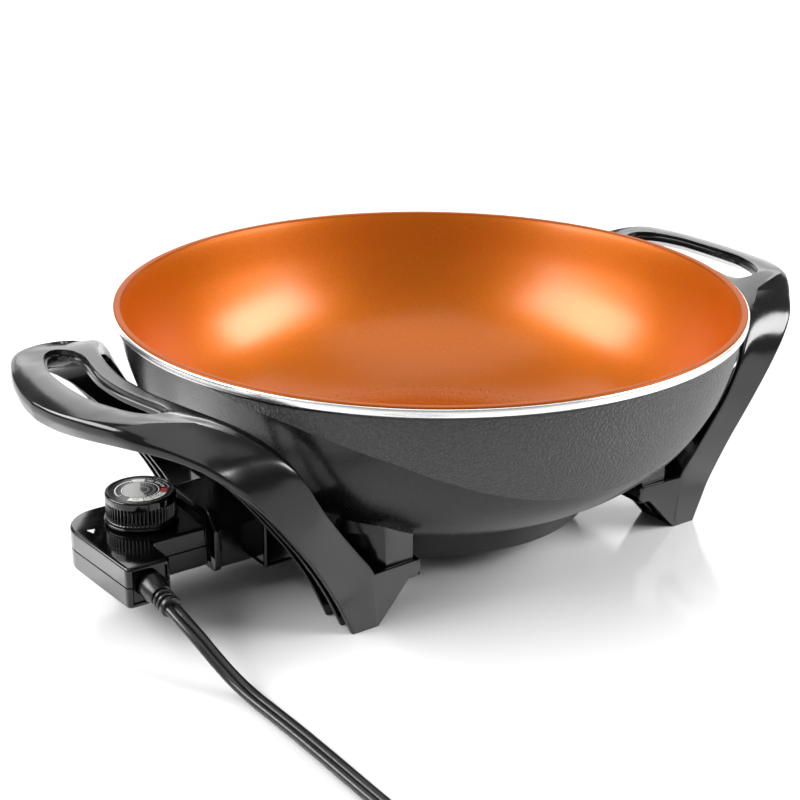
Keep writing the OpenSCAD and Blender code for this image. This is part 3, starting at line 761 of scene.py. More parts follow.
# probe tunnel and screw posts under the pan
for P, y0, y1 in [([(-99.8, 20.2), (-70, 20.2), (-70, 30.8), (-99.8, 30.8)], -7.4, 7.4)]:
    b = prism_y(P, y0, y1, PAN_MATS, "tunnel")
    v, f = lathe([(0, -2), (3.6, -2), (3.6, 24), (0, 24)], 32)
    hole = outward(raw("hole", np.column_stack([-101 + v[:, 2], v[:, 0], 25.5 + v[:, 1]]), f, PAN_MATS))
    bevel(b, 0.6, 2)
    cut(b, hole)
    b.data.polygons.foreach_set("material_index", np.full(len(b.data.polygons), 1, np.int32))
    shells.append(b)
for s in (-1, 1):
    v, f = lathe([(0, 19.7), (3.7, 19.7), (4.4, 20.4), (4.4, 42.0), (0, 42.0)], 32)
    b = outward(raw("post", np.column_stack([v[:, 0] - 112, v[:, 1] + s * 30, v[:, 2]]), f, PAN_MATS))
    b.data.polygons.foreach_set("material_index", np.full(len(b.data.polygons), 1, np.int32))
    shells.append(b)
v, f = lathe([(60.2, 27.5), (60.2, 17.6), (60.8, 17.1), (75.2, 17.1), (75.8, 17.6), (75.8, 27.5)], 128, closed=True)
b = outward(raw("ridge", v, f, PAN_MATS))
b.data.polygons.foreach_set("material_index", np.full(len(b.data.polygons), 1, np.int32))
shells.append(b)
pan = join("pan_casting", shells, PAN_MATS)
done(pan, "pan", "black_cast", "pan_body", angle=38)

# lining, with small raised dots over its floor
lip = [(161.32, 125.1), (161.55, 125.6), (161.95, 125.95), (162.6, 126.12), (163.5, 126.2), (164.3, 126.16), (164.85, 125.98), (165.12, 125.7), (165.18, 125.36), (163.45, 125.36)]
prof = [(float(p[0]), float(p[1])) for p in IN[1:]] + lip
full = [(0.0, 32.0)] + prof + in_back(0.6)[::-1]
v, f = lathe(full, 288)
# the faces on the lip take the darker copy of the copper, painted shade
on_lip = [int(min(v[i][2] for i in face) > 124.9) for face in f]
lining = outward(raw("lining", v, f, [M_COPPER, M_LIP_SHADED], on_lip))


def in_z(r):
    return float(np.interp(r, IN[:, 0], IN[:, 1]))


dv, df = [], []
ring_no = 0
r = 4.0
while r < 99:
    count = max(5, int(round(2 * math.pi * r / 5.2)))
    for k in range(count):
        a = 2 * math.pi * (k + 0.5 * (ring_no % 2)) / count
        cx, cy, cz = r * math.cos(a), r * math.sin(a), in_z(r)
        b0 = len(dv)
        for rr, dz in ((0.85, -0.2), (0.80, 0.10), (0.48, 0.27)):
            for q in range(8):
                w = math.pi * q / 4
                x, y = cx + rr * math.cos(w), cy + rr * math.sin(w)
                dv.append((x, y, in_z(math.hypot(x, y)) + dz))
        dv.append((cx, cy, cz + 0.32))
        for lv in range(2):
            for q in range(8):
                q2 = (q + 1) % 8
                df.append((b0 + lv * 8 + q, b0 + lv * 8 + q2, b0 + lv * 8 + 8 + q2, b0 + lv * 8 + 8 + q))
        for q in range(8):
            df.append((b0 + 16 + q, b0 + 16 + (q + 1) % 8, b0 + 24))
        df.append(tuple(b0 + q for q in range(7, -1, -1)))
    r += 4.9
    ring_no += 1
dots = raw("dots", dv, df, [M_COPPER, M_LIP_SHADED])
lining = join("nonstick_coating", [lining, dots], [M_COPPER, M_LIP_SHADED])
done(lining, "pan", "copper_coating", "nonstick_lining", angle=50, weighted=False)

v, f = lathe([(164.84, 121.32), (165.55, 121.3), (165.85, 121.45), (166.0, 121.8), (166.0, 123.3), (166.0, 124.8), (165.85, 125.15), (165.55, 125.3), (164.84, 125.3)], 288, closed=True)
band = outward(raw("rim_edge", v, f, [M_RIM]))
done(band, "pan", "bare_aluminium", "rim_band", angle=50, weighted=False)

# base cover: pressed disc with a rolled foot and a shallow step
prof = [(0, 14.55), (30, 14.55), (33, 14.5), (34.5, 14.1), (60, 14.05), (80, 14.05), (83.6, 14.05), (85.6, 14.3), (87.0, 15.0), (87.75, 16.2), (88.0, 17.6), (88.0, 22.0), (88.0, 26.4), (87.8, 26.85),
        (86.9, 26.85), (86.8, 22), (86.8, 17.8), (86.2, 16.2), (84.6, 15.4), (60, 15.3), (0, 15.3)]
v, f = lathe(prof, 192)
cover = outward(raw("cover", v, f, [M_COVER]))
tool = prism_y([(-95, 18.2), (-75, 18.2), (-75, 30), (-95, 30)], -19, 19, [M_COVER], "window")
cut(cover, tool)
cover.name = "bottom_cover"
done(cover, "pan", "cover_grey", "base_cover", angle=32, weighted=True)

# ---------------------------------------------------------------- handles
I_PTS = [(97, 93, 0), (98.5, 93, 15), (100, 93, 29), (109.4, 93.6, 42.3), (119.4, 94.2, 55.9), (129.3, 94.8, 70.5), (137.7, 93.8, 85.8), (143.8, 89.1, 96.5), (149.9, 82.2, 104.7),
         (155, 74.5, 109.4), (160.2, 65.4, 111.8), (166, 54, 113.4), (171.4, 38, 114.2), (175.4, 20, 114.6), (177, 0, 114.8)]
O_PTS = [(112.6, 90.6, 0), (118.9, 90.6, 14.2), (122, 90.5, 20.3), (126.7, 90.8, 28.8), (136, 91.4, 43.4), (147.6, 91.9, 59.1), (157.5, 91.9, 71.8), (165.7, 91.1, 81.1),
         (176, 88.6, 91), (186.8, 82.4, 99.2), (197.3, 72.2, 103.9), (208.4, 59.0, 106.4), (218.2, 38.0, 106.0), (222.8, 18.6, 104.6), (224.3, 0, 103.8)]
C2_PTS = [(112.4, 93.4, 0), (118.7, 93.4, 14.3), (121.7, 93.3, 20.5), (126.4, 93.7, 29.1), (135.6, 94.3, 43.7), (147.1, 94.8, 59.5), (156.9, 94.7, 72.6), (165.1, 93.7, 82.5),
          (175.3, 91.0, 93.5), (186.3, 84.7, 102.8), (197.4, 73.8, 108.6), (210.0, 59.8, 111.0), (219.6, 38.3, 111.2), (224.4, 18.7, 110.8), (226.3, 0, 110.3)]
C1_PTS = [(98.0, 93.4, 0), (99.5, 93.4, 15), (101, 93.4, 28.8), (110.3, 94, 41.9), (120.3, 94.6, 55.4), (130.2, 95.2, 70.1), (139, 94.5, 85.8), (145.7, 92.3, 94.9),
          (157.7, 86.6, 102.1), (171.8, 78.1, 108.6), (190, 69, 113.5), (208.4, 59.2, 116.6), (219.0, 38.2, 115.7), (223.9, 18.7, 114.3), (225.9, 0, 113.6)]
B_PTS = [(97.3, 90, 0), (98.8, 90, 15), (100.3, 90, 29), (109.7, 90.6, 42.3), (119.7, 91.2, 55.9), (129.7, 91.8, 70.1), (138.7, 90.4, 84.3), (144.9, 85.5, 92.7), (151.1, 78.8, 98.3),
         (156.4, 71.1, 101.6), (161.2, 62.8, 104.8), (166.8, 52.6, 107.6), (172, 38, 109), (175.8, 20, 109.4), (177.3, 0, 109.4)]
R_I = [0.8, 0.8, 0.8, 0.8, 0.9, 1.2, 2.5, 4.5, 6.0, 6.5, 6.0, 4.5, 3.0, 2.5, 2.5]
R_1 = [0.5, 0.5, 0.5, 0.5, 0.6, 0.9, 2.5, 6.0, 12.0, 17.0, 15.0, 5.0, 1.7, 1.5, 1.5]
R_2 = [0.7, 0.7, 0.7, 0.7, 0.8, 0.9, 1.0, 1.2, 1.6, 2.0, 2.2, 1.8, 1.5, 1.3, 1.2]
CROWN = [0, 0, 0, 0, 0, 0, 0, 0, 0, 0, 0.5, 1.8, 3.1, 3.8, 4.0]
R_O = [0.7, 0.7, 0.7, 0.7, 0.8, 0.8, 0.9, 1.0, 1.2, 1.4, 1.4, 1.4, 1.4, 1.4, 1.4]
SLOT = [(208.8, 0), (208.4, 12), (207.2, 24), (204, 35), (200.5, 43), (196, 49), (190, 51.5), (184, 50), (180.6, 46), (180.4, 38), (183.4, 24), (185.6, 12), (186.2, 0)]
slot_half = smooth_line(SLOT, 6)
slot_out = np.concatenate([slot_half, (slot_half * [1, -1])[::-1][1:-1]])


def inside(poly, p):
    x, y = p
    a, b = poly, np.roll(poly, -1, 0)
    hit = ((a[:, 1] > y) != (b[:, 1] > y)) & (x < (b[:, 0] - a[:, 0]) * (y - a[:, 1]) / (b[:, 1] - a[:, 1] + 1e-12) + a[:, 0])
    return bool(hit.sum() % 2)


def corner_pts(prev, p, nxt, d, n):
    u, w = prev - p, nxt - p
    lu, lw = np.linalg.norm(u), np.linalg.norm(w)
    a, b = p + u / lu * min(d, 0.45 * lu), p + w / lw * min(d, 0.45 * lw)
    return [((1 - s) ** 2) * a + 2 * s * (1 - s) * p + s * s * b for s in np.linspace(0, 1, n)]


def slot_span(k):
    """Where the section's upper line enters and leaves the slot's outline, or None."""
    i, c = crom(I_PTS, k), crom(C1_PTS, k)
    us = np.linspace(0, 1, 161)
    ins = [inside(slot_out, (i + (c - i) * u)[:2]) for u in us]
    if not any(ins):
        return None
    hit = [u for u, q in zip(us, ins) if q]
    lo, hi = hit[0], hit[-1]
    step = us[1]

    def edge(a, b):
        for _ in range(18):
            m = (a + b) / 2
            if inside(slot_out, (i + (c - i) * m)[:2]):
                b = m
            else:
                a = m
        return b
    return edge(lo - step, lo), edge(hi + step, hi)


lo_k, hi_k = 10.0, 13.0
for _ in range(30):
    mid = (lo_k + hi_k) / 2
    if slot_span(mid) is None:
        lo_k = mid
    else:
        hi_k = mid
k_tip = hi_k + 0.004
tip_in, tip_out = (crom(P, k_tip) for P in (I_PTS, C1_PTS))
TIPM = tip_in + (tip_out - tip_in) * (sum(slot_span(k_tip)) / 2)
stations = [i * 0.1 for i in range(int(k_tip * 10) - 1)]
stations += list(np.linspace(stations[-1] + 0.1, k_tip - 0.05, 4))
open_from = len(stations)
stations += [k_tip + (14 - k_tip) * ((j / 34) ** 1.8) for j in range(35)]


def station_ring(k, is_open):
    i, c1, c2, o, b = (crom(P, k) for P in (I_PTS, C1_PTS, C2_PTS, O_PTS, B_PTS))
    rI, r1, r2, rO = (float(np.interp(k, range(15), R)) for R in (R_I, R_1, R_2, R_O))
    h = float(np.interp(k, range(15), CROWN))
    along = c1 - i
    end = along + [0, 0, -6.75 * h]  # how the crowned line runs into the outer edge
    ci = corner_pts(b, i, c1, rI, 6)
    cc1 = corner_pts(c1 - end, c1, c2, r1, 8)
    cc2 = corner_pts(c1, c2, o, r2, 6)
    co = corner_pts(c2, o, b, rO, 4)
    cb = corner_pts(o, b, i, 1.0, 3)
    pa = ci[-1]
    pb = i + along * (1 - np.linalg.norm(c1 - cc1[0]) / np.linalg.norm(end))

    def lift(p):
        u = min(max(float(np.dot(p - i, along) / np.dot(along, along)), 0.0), 1.0)
        return p + np.array([0, 0, h * 6.75 * u * u * (1 - u)])

    if is_open:
        ua, ub = slot_span(k)
        sa, sb = i + (c1 - i) * ua, i + (c1 - i) * ub
        if np.linalg.norm(sb - sa) < 1.4:
            m, d = (sa + sb) / 2, (c1 - i) / np.linalg.norm(c1 - i)
            sa, sb = m - d * 0.7, m + d * 0.7
    else:
        m = i + (c1 - i) * 0.34 if k > 9 else pa + (pb - pa) * 0.45
        d = pb - pa
        gap = min(2.0, 0.1 * np.linalg.norm(d))
        d = d / max(np.linalg.norm(d), 1e-6)
        sa, sb = m - d * gap / 2, m + d * gap / 2
        if k > 9:
            w = (k - 9) / (k_tip - 9)
            m2 = m * (1 - w * w) + TIPM * w * w
            sa, sb = m2 - d * gap / 2, m2 + d * gap / 2
    ring_pts = list(ci)
    ring_pts += [lift(pa + (sa - pa) * q) for q in (0.33, 0.67)] + [lift(sa), lift(sb)]
    ring_pts += [lift(sb + (pb - sb) * q) for q in (0.17, 0.34, 0.5, 0.67, 0.84)]
    sa, sb = lift(sa), lift(sb)
    ring_pts += cc1
    ring_pts += [cc1[-1] + (cc2[0] - cc1[-1]) * q for q in (0.2, 0.4, 0.6, 0.8)]
    ring_pts += cc2
    ring_pts += [cc2[-1] + (co[0] - cc2[-1]) * 0.5]
    ring_pts += co
    qa, qb = co[-1], cb[0]
    if is_open or k > 9:
        la, lb = (np.array([q[0], q[1], q[2] - 5.7]) for q in (sa, sb))
        if not is_open:
            near = max(0.0, 1 - (k_tip - k) / 0.5)
            for q in (la, lb):
                f = np.clip(np.linalg.norm(q[:2] - qa[:2]) / max(np.linalg.norm((qb - qa)[:2]), 1e-6), 0, 1)
                q[2] = (qa[2] + (qb[2] - qa[2]) * f) * (1 - near) + q[2] * near
    else:
        la, lb = qa + (qb - qa) * 0.55, qa + (qb - qa) * 0.45
    ring_pts += [lb, la]
    ring_pts += cb
    return ring_pts


rings = [np.array(station_ring(k, j >= open_from)) for j, k in enumerate(stations)]
COLS = len(rings[0])
SA, SB = 8, 9
LB, LA = COLS - 5, COLS - 4


def handle(side, name, node):
    """One moulding: loop with finger slot, two legs of three plates, web and foot cups. side is +1 or -1 along X."""
    mats = [M_HANDLE]
    allr = [r * [side, -1, 1] for r in rings] + [r * [side, 1, 1] for r in rings[::-1][1:]]
    total = len(allr)
    o0, o1 = open_from, total - 1 - open_from
    verts = [p for r in allr for p in r]
    faces = []
    for j in range(total - 1):
        hole = o0 <= j < o1
        for k in range(COLS):
            k2 = (k + 1) % COLS
            if hole and (k == SA or k == LB):
                continue
            faces.append((j * COLS + k, j * COLS + k2, (j + 1) * COLS + k2, (j + 1) * COLS + k))
    faces.append(tuple(range(COLS)))
    faces.append(tuple((total - 1) * COLS + k for k in range(COLS)))
    # wall of the slot: bevel, short wall, ledge, short wall, hollow under it
    upper = [j * COLS + SA for j in range(o0, o1 + 1)] + [j * COLS + SB for j in range(o1, o0 - 1, -1)]
    lower = [j * COLS + LA for j in range(o0, o1 + 1)] + [j * COLS + LB for j in range(o1, o0 - 1, -1)]
    U = np.array([verts[q] for q in upper])
    a2, b2 = np.roll(U, 1, 0)[:, :2], np.roll(U, -1, 0)[:, :2]
    t = b2 - a2
    t /= np.maximum(np.linalg.norm(t, axis=1), 1e-9)[:, None]
    nrm = np.stack([-t[:, 1], t[:, 0]], 1)
    area = 0.5 * np.sum(U[:, 0] * np.roll(U[:, 1], -1) - np.roll(U[:, 0], -1) * U[:, 1])
    if area < 0:
        nrm = -nrm  # points into the hole
    for _ in range(3):
        nrm = (np.roll(nrm, 1, 0) + 2 * nrm + np.roll(nrm, -1, 0)) / 4
    prev = upper
    for off, dz in ((0.30, -0.12), (0.55, -0.5), (0.6, -2.3), (0.75, -2.6), (1.75, -2.75), (1.95, -3.0), (2.0, -5.0), (1.7, -5.3), (-0.2, -5.5)):
        row = []
        for q, p in enumerate(U):
            row.append(len(verts))
            w = 0.55 if (q in (0, len(U) - 1) or abs(p[1]) > 50.0) else 1.0
            xy = p[:2] + nrm[q] * (off * w)
            verts.append(np.array([xy[0], xy[1], p[2] + dz]))
        for q in range(len(U)):
            q2 = (q + 1) % len(U)
            faces.append((prev[q], prev[q2], row[q2], row[q]))
        prev = row
    for q in range(len(U)):
        q2 = (q + 1) % len(U)
        faces.append((prev[q], prev[q2], lower[q2], lower[q]))
    loop = outward(raw("loop", verts, faces, mats))
    parts = [loop]

    zs_i = [(p[2], p[0]) for p in I_PTS[2:10]]
    zs_o = [(p[2], p[0]) for p in O_PTS[:11]] + [(105, 200)]
    zs_p = [(45, 110), (60, 127), (70, 139), (80, 150), (90, 158), (100, 164), (105, 166)]

    def x_in(z, y):
        xi = float(np.interp(z, [q[0] for q in zs_i], [q[1] for q in zs_i])) if z > 29 else 100.0
        rb = bowl_r(z) + 2.0 if z > 27 else 88
        return max(xi, math.sqrt(max(rb * rb - y * y, 0)))

    def x_out(z):
        return float(np.interp(z, [q[0] for q in zs_o], [q[1] for q in zs_o]))

    def leg_outline(ztop, y, shrink=0.0):
        P = [(97, 0.0), (112.4, 0.0)]
        z = 4.0
        while z < ztop:
            P.append((x_out(z) - 0.3 - shrink, z))
            z += 4.0
        P.append((x_out(ztop) - 3.0, ztop))
        def inner(z):
            return max(x_in(z, y) + 0.2, float(np.interp(z, [q[0] for q in zs_p], [q[1] for q in zs_p])) if z > 45 else 0.0)
        P.append((inner(ztop) + 2.0, ztop))
        z = ztop - 3
        while z > 31:
            P.append((inner(z), z))
            z -= 4.0
        P += [(100, 28.5), (76, 28.5), (73, 27.2), (72, 25), (72, 22), (74, 19.6), (79, 19.6)]
        return [(side * p[0], p[1]) for p in P]

    for sy in (-1, 1):
        for y0, y1, ztop, sh in ((68.5, 71.0, 103.0, 0.0), (80.8, 83.4, 94.0, 0.0)):
            parts.append(bevel(prism_y(leg_outline(ztop, y0, sh), sy * y0, sy * y1, mats), 0.55, 2, 40))
        # web along the inner edge
        zz = [0.0, 8.0, 15.0, 22.0, 28.0, 33.0, 38.0, 43.0, 49.0, 56.0, 62.0]
        po = [(0, 102), (15, 104.6), (29, 106.5), (43, 115.5), (56, 124.5), (70, 133.8), (82, 142.5), (88, 147.5), (99, 157)]
        rows = []
        for z in zz:
            xo = float(np.interp(z, [q[0] for q in po], [q[1] for q in po]))
            if z < 28.5:
                xa = xb = 97 + z * 0.1
            else:
                xa, xb = x_in(z, 69.0) + 0.2, x_in(z, 91.5) + 0.2
            y1 = 92.0
            xo = max(xo, xa + 1.6, xb + 1.6)
            rows.append([(side * xa, sy * 68.8, z), (side * xb, sy * y1, z), (side * xo, sy * y1, z), (side * xo, sy * 68.8, z)])
        v, f = loops(rows)
        parts.append(bevel(outward(raw("web", v, f, mats)), 0.5, 2, 35))
        # rounded corner between the rear plate and the loop's underside
        fil = [(56, 108.2, 171.0, 197.0), (57, 105.6, 169.5, 196.0), (60.5, 103.6, 168.0, 193.0), (63.4, 100.8, 166.0, 188.5), (65.8, 97.0, 163.5, 183.0), (67.4, 92.4, 160.0, 177.0), (68.3, 87.2, 156.2, 171.5), (68.6, 81.0, 151.5, 165.0)]
        rows = []
        for y, z, xa, xb in fil:
            rows.append([(side * xa, sy * y, z), (side * xb, sy * y, z), (side * xb, sy * 70.2, z), (side * xa, sy * 70.2, z)])
        v, f = loops(rows)
        parts.append(bevel(outward(raw("corner", v, f, mats)), 0.6, 2, 40))
        # foot pad: front wall of the cup, slightly turned from the leg's face
        P = round_poly([(103.0, 0.1), (97.1, 0.1), (79.2, 19.5), (74.4, 19.5), (72, 22), (72, 25.4), (74.6, 28.5), (103.0, 28.5)], [0, 0.8, 1.5, 2.0, 1.5, 2.2, 2.2, 0], 4)
        n = len(P)
        rows = []
        for depth in (0.0, 2.4):
            rows.append(np.array([(side * p[0], sy * (93.42 - max(0.0, 98.6 - p[0]) * 0.05 - depth), p[1]) for p in P]))
        v, f = loops(rows)
        parts.append(bevel(outward(raw("padface", v, f, mats)), 0.6, 2, 40))
        # cup floor and its other walls
        for x0, x1, y0, y1, z0, z1 in ((72.1, 99.5, 68.6, 92.0, 19.6, 23.4), (72.1, 74.2, 68.6, 92.0, 19.7, 28.4), (73.0, 99.5, 68.6, 70.9, 19.7, 28.4), (98.2, 101.5, 68.8, 92.0, 4.0, 28.4)):
            v = [(side * x, sy * y, z) for x in (x0, x1) for y in (y0, y1) for z in (z0, z1)]
            f = [(0, 1, 3, 2), (4, 6, 7, 5), (0, 4, 5, 1), (2, 3, 7, 6), (0, 2, 6, 4), (1, 5, 7, 3)]
            parts.append(bevel(outward(raw("cup", v, f, mats)), 0.6, 2, 40))
    ob = join(name, parts, mats)
    return done(ob, "pan", "black_phenolic", node, angle=32)


handle(-1, "left_handle_moulding", "left_handle")
handle(1, "right_handle_moulding", "right_handle")

# ---------------------------------------------------------------- terminal shroud
SH = [M_SHROUD]


def sleeve_poly(g, r):
    return round_poly([(-26 - g, 16.5 - g), (26 + g, 16.5 - g), (26 + g, 38), (20 + g, 45 + g), (-20 - g, 45 + g), (-26 - g, 38)], r, 5)


def tube_x(outer, inner, stations_x, name):
    """A sleeve along X: rings (x, growth) outside, then the bore."""
    rows = []
    for x, g in stations_x:
        P = inset(outer, -g)
        rows.append(np.column_stack([np.full(len(P), x), P]))
    for x in (stations_x[-1][0], stations_x[0][0]):
        rows.append(np.column_stack([np.full(len(inner), x), inner]))
    v, f = loops(rows, closed=True)
    return outward(raw(name, v, f, SH))


so = sleeve_poly(0, 2.2)
si = inset(so, 3.0)
prof_x = [(-122, 0), (-144.2, 0), (-144.9, 0.15), (-145.3, 0.55), (-145.5, 0.85), (-145.9, 1.1), (-146.6, 1.2), (-148.0, 1.2), (-148.6, 1.05), (-148.9, 0.7), (-149.0, 0.2)]
sleeve = tube_x(so, si, prof_x, "sleeve")
# base block: two side walls, floor and back shoulder, following the bowl
blk = []
for sy in (-1, 1):
    rows = []
    for x in np.linspace(-127, -88.6, 14):
        r = math.hypot(x, 36)
        ztop = 42.5
        zb = float(np.interp(r, OUT[:, 0], OUT[:, 1])) - 0.7 if r > 88 else 26.2
        zt = min(ztop, zb)
        rows.append([(x, sy * 38, 16.5), (x, sy * 35, 16.5), (x, sy * 35, zt), (x, sy * 38, zt)])
    v, f = loops(rows)
    blk.append(bevel(outward(raw("wall", v, f, SH)), 0.9, 3, 40))
n_arc = 24
fl = [(-127, -38), (-127, 38)] + [(-math.sqrt(88.9 ** 2 - y * y), y) for y in np.linspace(38, -38, n_arc)]
v, f = loops([flat_ring(np.array(fl), 16.5), flat_ring(np.array(fl), 19.5)])
blk.append(bevel(outward(raw("floor_plate", v, f, SH)), 0.6, 2, 40))
for sy in (-1, 1):
    v = [(x, sy * y, z) for x in (-127, -124) for y in (24, 37.9) for z in (16.6, 42.5)]
    f = [(0, 1, 3, 2), (4, 6, 7, 5), (0, 4, 5, 1), (2, 3, 7, 6), (0, 2, 6, 4), (1, 5, 7, 3)]
    blk.append(bevel(outward(raw("shoulder", v, f, SH)), 0.9, 3, 40))
v = [(x, y, z) for x in (-127, -123.6) for y in (-22, 22) for z in (42.0, 44.6)]
f = [(0, 1, 3, 2), (4, 6, 7, 5), (0, 4, 5, 1), (2, 3, 7, 6), (0, 2, 6, 4), (1, 5, 7, 3)]
blk.append(bevel(outward(raw("brow", v, f, SH)), 0.6, 2, 40))
shroud = join("terminal_guard", [sleeve] + blk, SH)
done(shroud, "pan", "black_phenolic", "terminal_shroud", angle=38)

# ---------------------------------------------------------------- controller case
arc_pts = [(-187.5 + 20 * math.cos(math.radians(a)), 5.5 + 20 * math.sin(math.radians(a))) for a in np.linspace(90, 180, 17)]
plan = [(-151, 25.5)] + arc_pts + [(-205.0, -45.5), (-182.3, -45.5), (-182.3, -25.5), (-151, -25.5)]
rad = [3.0] + [0] * len(arc_pts) + [3.4, 3.0, 1.8, 3.0]
CASE = round_poly(plan, rad, 8)
if 0.5 * np.sum(CASE[:, 0] * np.roll(CASE[:, 1], -1) - np.roll(CASE[:, 0], -1) * CASE[:, 1]) < 0:
    CASE = CASE[::-1]
SEAM, TOP, BOT = 31.0, 41.0, 20.0
MC = [M_CASE]


def front_points(P):
    """The outline with close points along the face that the lead leaves from."""
    out = []
    m = len(P)
    for i in range(m):
        a, b = P[i], P[(i + 1) % m]
        out.append(a)
        if abs(a[1] + 45.5) < 0.02 and abs(b[1] + 45.5) < 0.02 and abs(b[0] - a[0]) > 5:
            n = int(abs(b[0] - a[0]) / 0.3)
            out += [a + (b - a) * k / n for k in range(1, n)]
    return np.array(out)


CASE = front_points(CASE)
FRONT = np.abs(CASE[:, 1] + 45.5) < 0.02


def recess(rows):
    """Sinks a rounded field of the front face by 0.9 mm."""
    out = []
    for r in rows:
        r = r.copy()
        x, z = r[:, 0] + 193.7, r[:, 2] - 30.55
        qx, qz = np.abs(x) - (9.2 - 1.6), np.abs(z) - (8.2 - 1.6)
        d = np.hypot(np.maximum(qx, 0), np.maximum(qz, 0)) + np.minimum(np.maximum(qx, qz), 0) - 1.6
        t = np.clip((0.12 - d) / 0.5, 0, 1)
        r[:, 1] += np.where(FRONT, 0.9 * t * t * (3 - 2 * t), 0.0)
        out.append(r)
    return out


def case_half(name, z_seam, z_end, r_end, node):
    up = z_end > z_seam
    h = abs(z_end - z_seam)
    inner = inset(CASE, 2.0)
    skin = [flat_ring(inset(CASE, 0.42), 0.0), flat_ring(inset(CASE, 0.16), 0.08), flat_ring(CASE, 0.34)]
    z = 0.64
    while z < h - r_end - 0.1:
        skin.append(flat_ring(CASE, z))
        z += 0.3
    for i in range(7):
        a = math.pi / 2 * i / 6
        skin.append(flat_ring(inset(CASE, r_end * (1 - math.cos(a))), h - r_end * (1 - math.sin(a))))
    skin.append(flat_ring(inset(CASE, r_end + 0.1), h))
    rows = [flat_ring(inner, h - 2.0), flat_ring(inner, 0.0)] + skin
    for q in rows:
        q[:, 2] = z_seam + (q[:, 2] if up else -q[:, 2])
    rows = rows[:2] + recess(rows[2:])
    v, f = loops(rows)
    ob = outward(raw(name, v, f, MC))
    return done(ob, "controller", "black_case", node, angle=40)


case_half("case_upper", SEAM + 0.06, TOP, 1.5, "controller_upper_case")
case_half("case_lower", SEAM - 0.06, BOT, 1.8, "controller_lower_case")

# white pointer on the case, towards the dial
tri = round_poly([(-201.6, 3.6), (-197.6, 2.9), (-200.4, -1.5)], 0.25, 3)
if 0.5 * np.sum(tri[:, 0] * np.roll(tri[:, 1], -1) - np.roll(tri[:, 0], -1) * tri[:, 1]) < 0:
    tri = tri[::-1]
v, f = loops([flat_ring(tri, 40.95), flat_ring(tri, 41.03), flat_ring(inset(tri, 0.05), 41.06)])
pointer = outward(raw("dial_pointer", v, f, [M_WHITE]))
done(pointer, "controller", "black_case", angle=40)

# ---------------------------------------------------------------- dial
DX = -174.0
RIBS = 56
per = 10
ND = RIBS * per


def groove(k):
    q = (k % per) / per
    return 0.5 - 0.5 * math.cos(2 * math.pi * q)


def dial_ring(r, z, depth=0.0):
    out = []
    for k in range(ND):
        a = 2 * math.pi * k / ND
        g = groove(k)
        rr = r - depth * (1 - g) ** 1.6
        out.append((DX + rr * math.cos(a), rr * math.sin(a), z))
    return np.array(out)


rows = [dial_ring(14.6, 43.6), dial_ring(14.6, 41.85), dial_ring(17.5, 41.85), dial_ring(17.85, 41.95), dial_ring(18.02, 42.25), dial_ring(18.05, 42.8), dial_ring(17.95, 43.15), dial_ring(17.6, 43.35),
        dial_ring(17.15, 43.42), dial_ring(17.05, 43.6), dial_ring(17.1, 43.8), dial_ring(17.45, 43.95), dial_ring(17.55, 44.2), dial_ring(17.45, 44.45),
        dial_ring(17.2, 44.6, 0.15), dial_ring(17.16, 44.9, 0.6), dial_ring(17.16, 46.5, 0.78), dial_ring(17.16, 48.5, 0.78), dial_ring(17.17, 50.5, 0.78), dial_ring(17.18, 51.6, 0.72),
        dial_ring(17.2, 52.2, 0.5), dial_ring(17.22, 52.6, 0.2), dial_ring(17.24, 52.9, 0.0), dial_ring(17.25, 53.2), dial_ring(17.25, 55.6), dial_ring(17.2, 56.2),
        dial_ring(17.02, 56.65), dial_ring(16.7, 56.92), dial_ring(16.3, 57.0), dial_ring(15.75, 57.0), dial_ring(15.45, 56.9), dial_ring(15.3, 56.6), dial_ring(15.25, 56.1), dial_ring(13.0, 56.02)]
v, f = loops(rows)
knob = outward(raw("dial_cap", v, f, MC))
done(knob, "dial", "black_case", "dial_knob", angle=50, weighted=True)

FM = [M_FACE, M_WHITE, M_RED, M_SILVER]
FZ = 56.72


def flat_piece(P, z0, z1, idx):
    P = np.asarray(P, float)
    if 0.5 * np.sum(P[:, 0] * np.roll(P[:, 1], -1) - np.roll(P[:, 0], -1) * P[:, 1]) < 0:
        P = P[::-1]
    v, f = loops([flat_ring(P, z0), flat_ring(P, z1)])
    ob = outward(raw("mark", v, f, FM))
    ob.data.polygons.foreach_set("material_index", np.full(len(ob.data.polygons), idx, np.int32))
    return ob


def sector(r0, r1, a0, a1):
    n = max(3, int(abs(a1 - a0) / 3))
    aa = np.radians(np.linspace(a0, a1, n + 1))
    return [(DX + r1 * math.cos(a), r1 * math.sin(a)) for a in aa] + [(DX + r0 * math.cos(a), r0 * math.sin(a)) for a in aa[::-1]]


v, f = lathe([(0, 56.03), (15.0, 56.03), (15.1, 56.12), (15.1, 56.58), (14.95, 56.66), (14.7, FZ - 0.04), (0, FZ - 0.04)], 128)
disc = outward(raw("disc", np.column_stack([v[:, 0] + DX, v[:, 1], v[:, 2]]), f, FM))
marks = [disc]
z0, z1 = FZ - 0.08, FZ - 0.005


def annulus(r0, r1, a0, a1, idx):
    marks.append(flat_piece(sector(r0, r1, a0, a1), z0, z1, idx))


v, f = lathe([(8.8, z0), (9.2, z0), (9.2, z1), (8.8, z1)], 96, closed=True)
ring_ob = outward(raw("ringmark", np.column_stack([v[:, 0] + DX, v[:, 1], v[:, 2]]), f, FM))
ring_ob.data.polygons.foreach_set("material_index", np.full(len(ring_ob.data.polygons), 1, np.int32))
marks.append(ring_ob)
# half of the middle is bright, half black
annulus(0.3, 8.5, 62, 262, 3)
for a in range(-92, 60, 12):
    annulus(6.2, 7.6, a - 1.6, a + 1.6, 3)
    annulus(3.4, 4.6, a - 2.4, a + 2.4, 3)
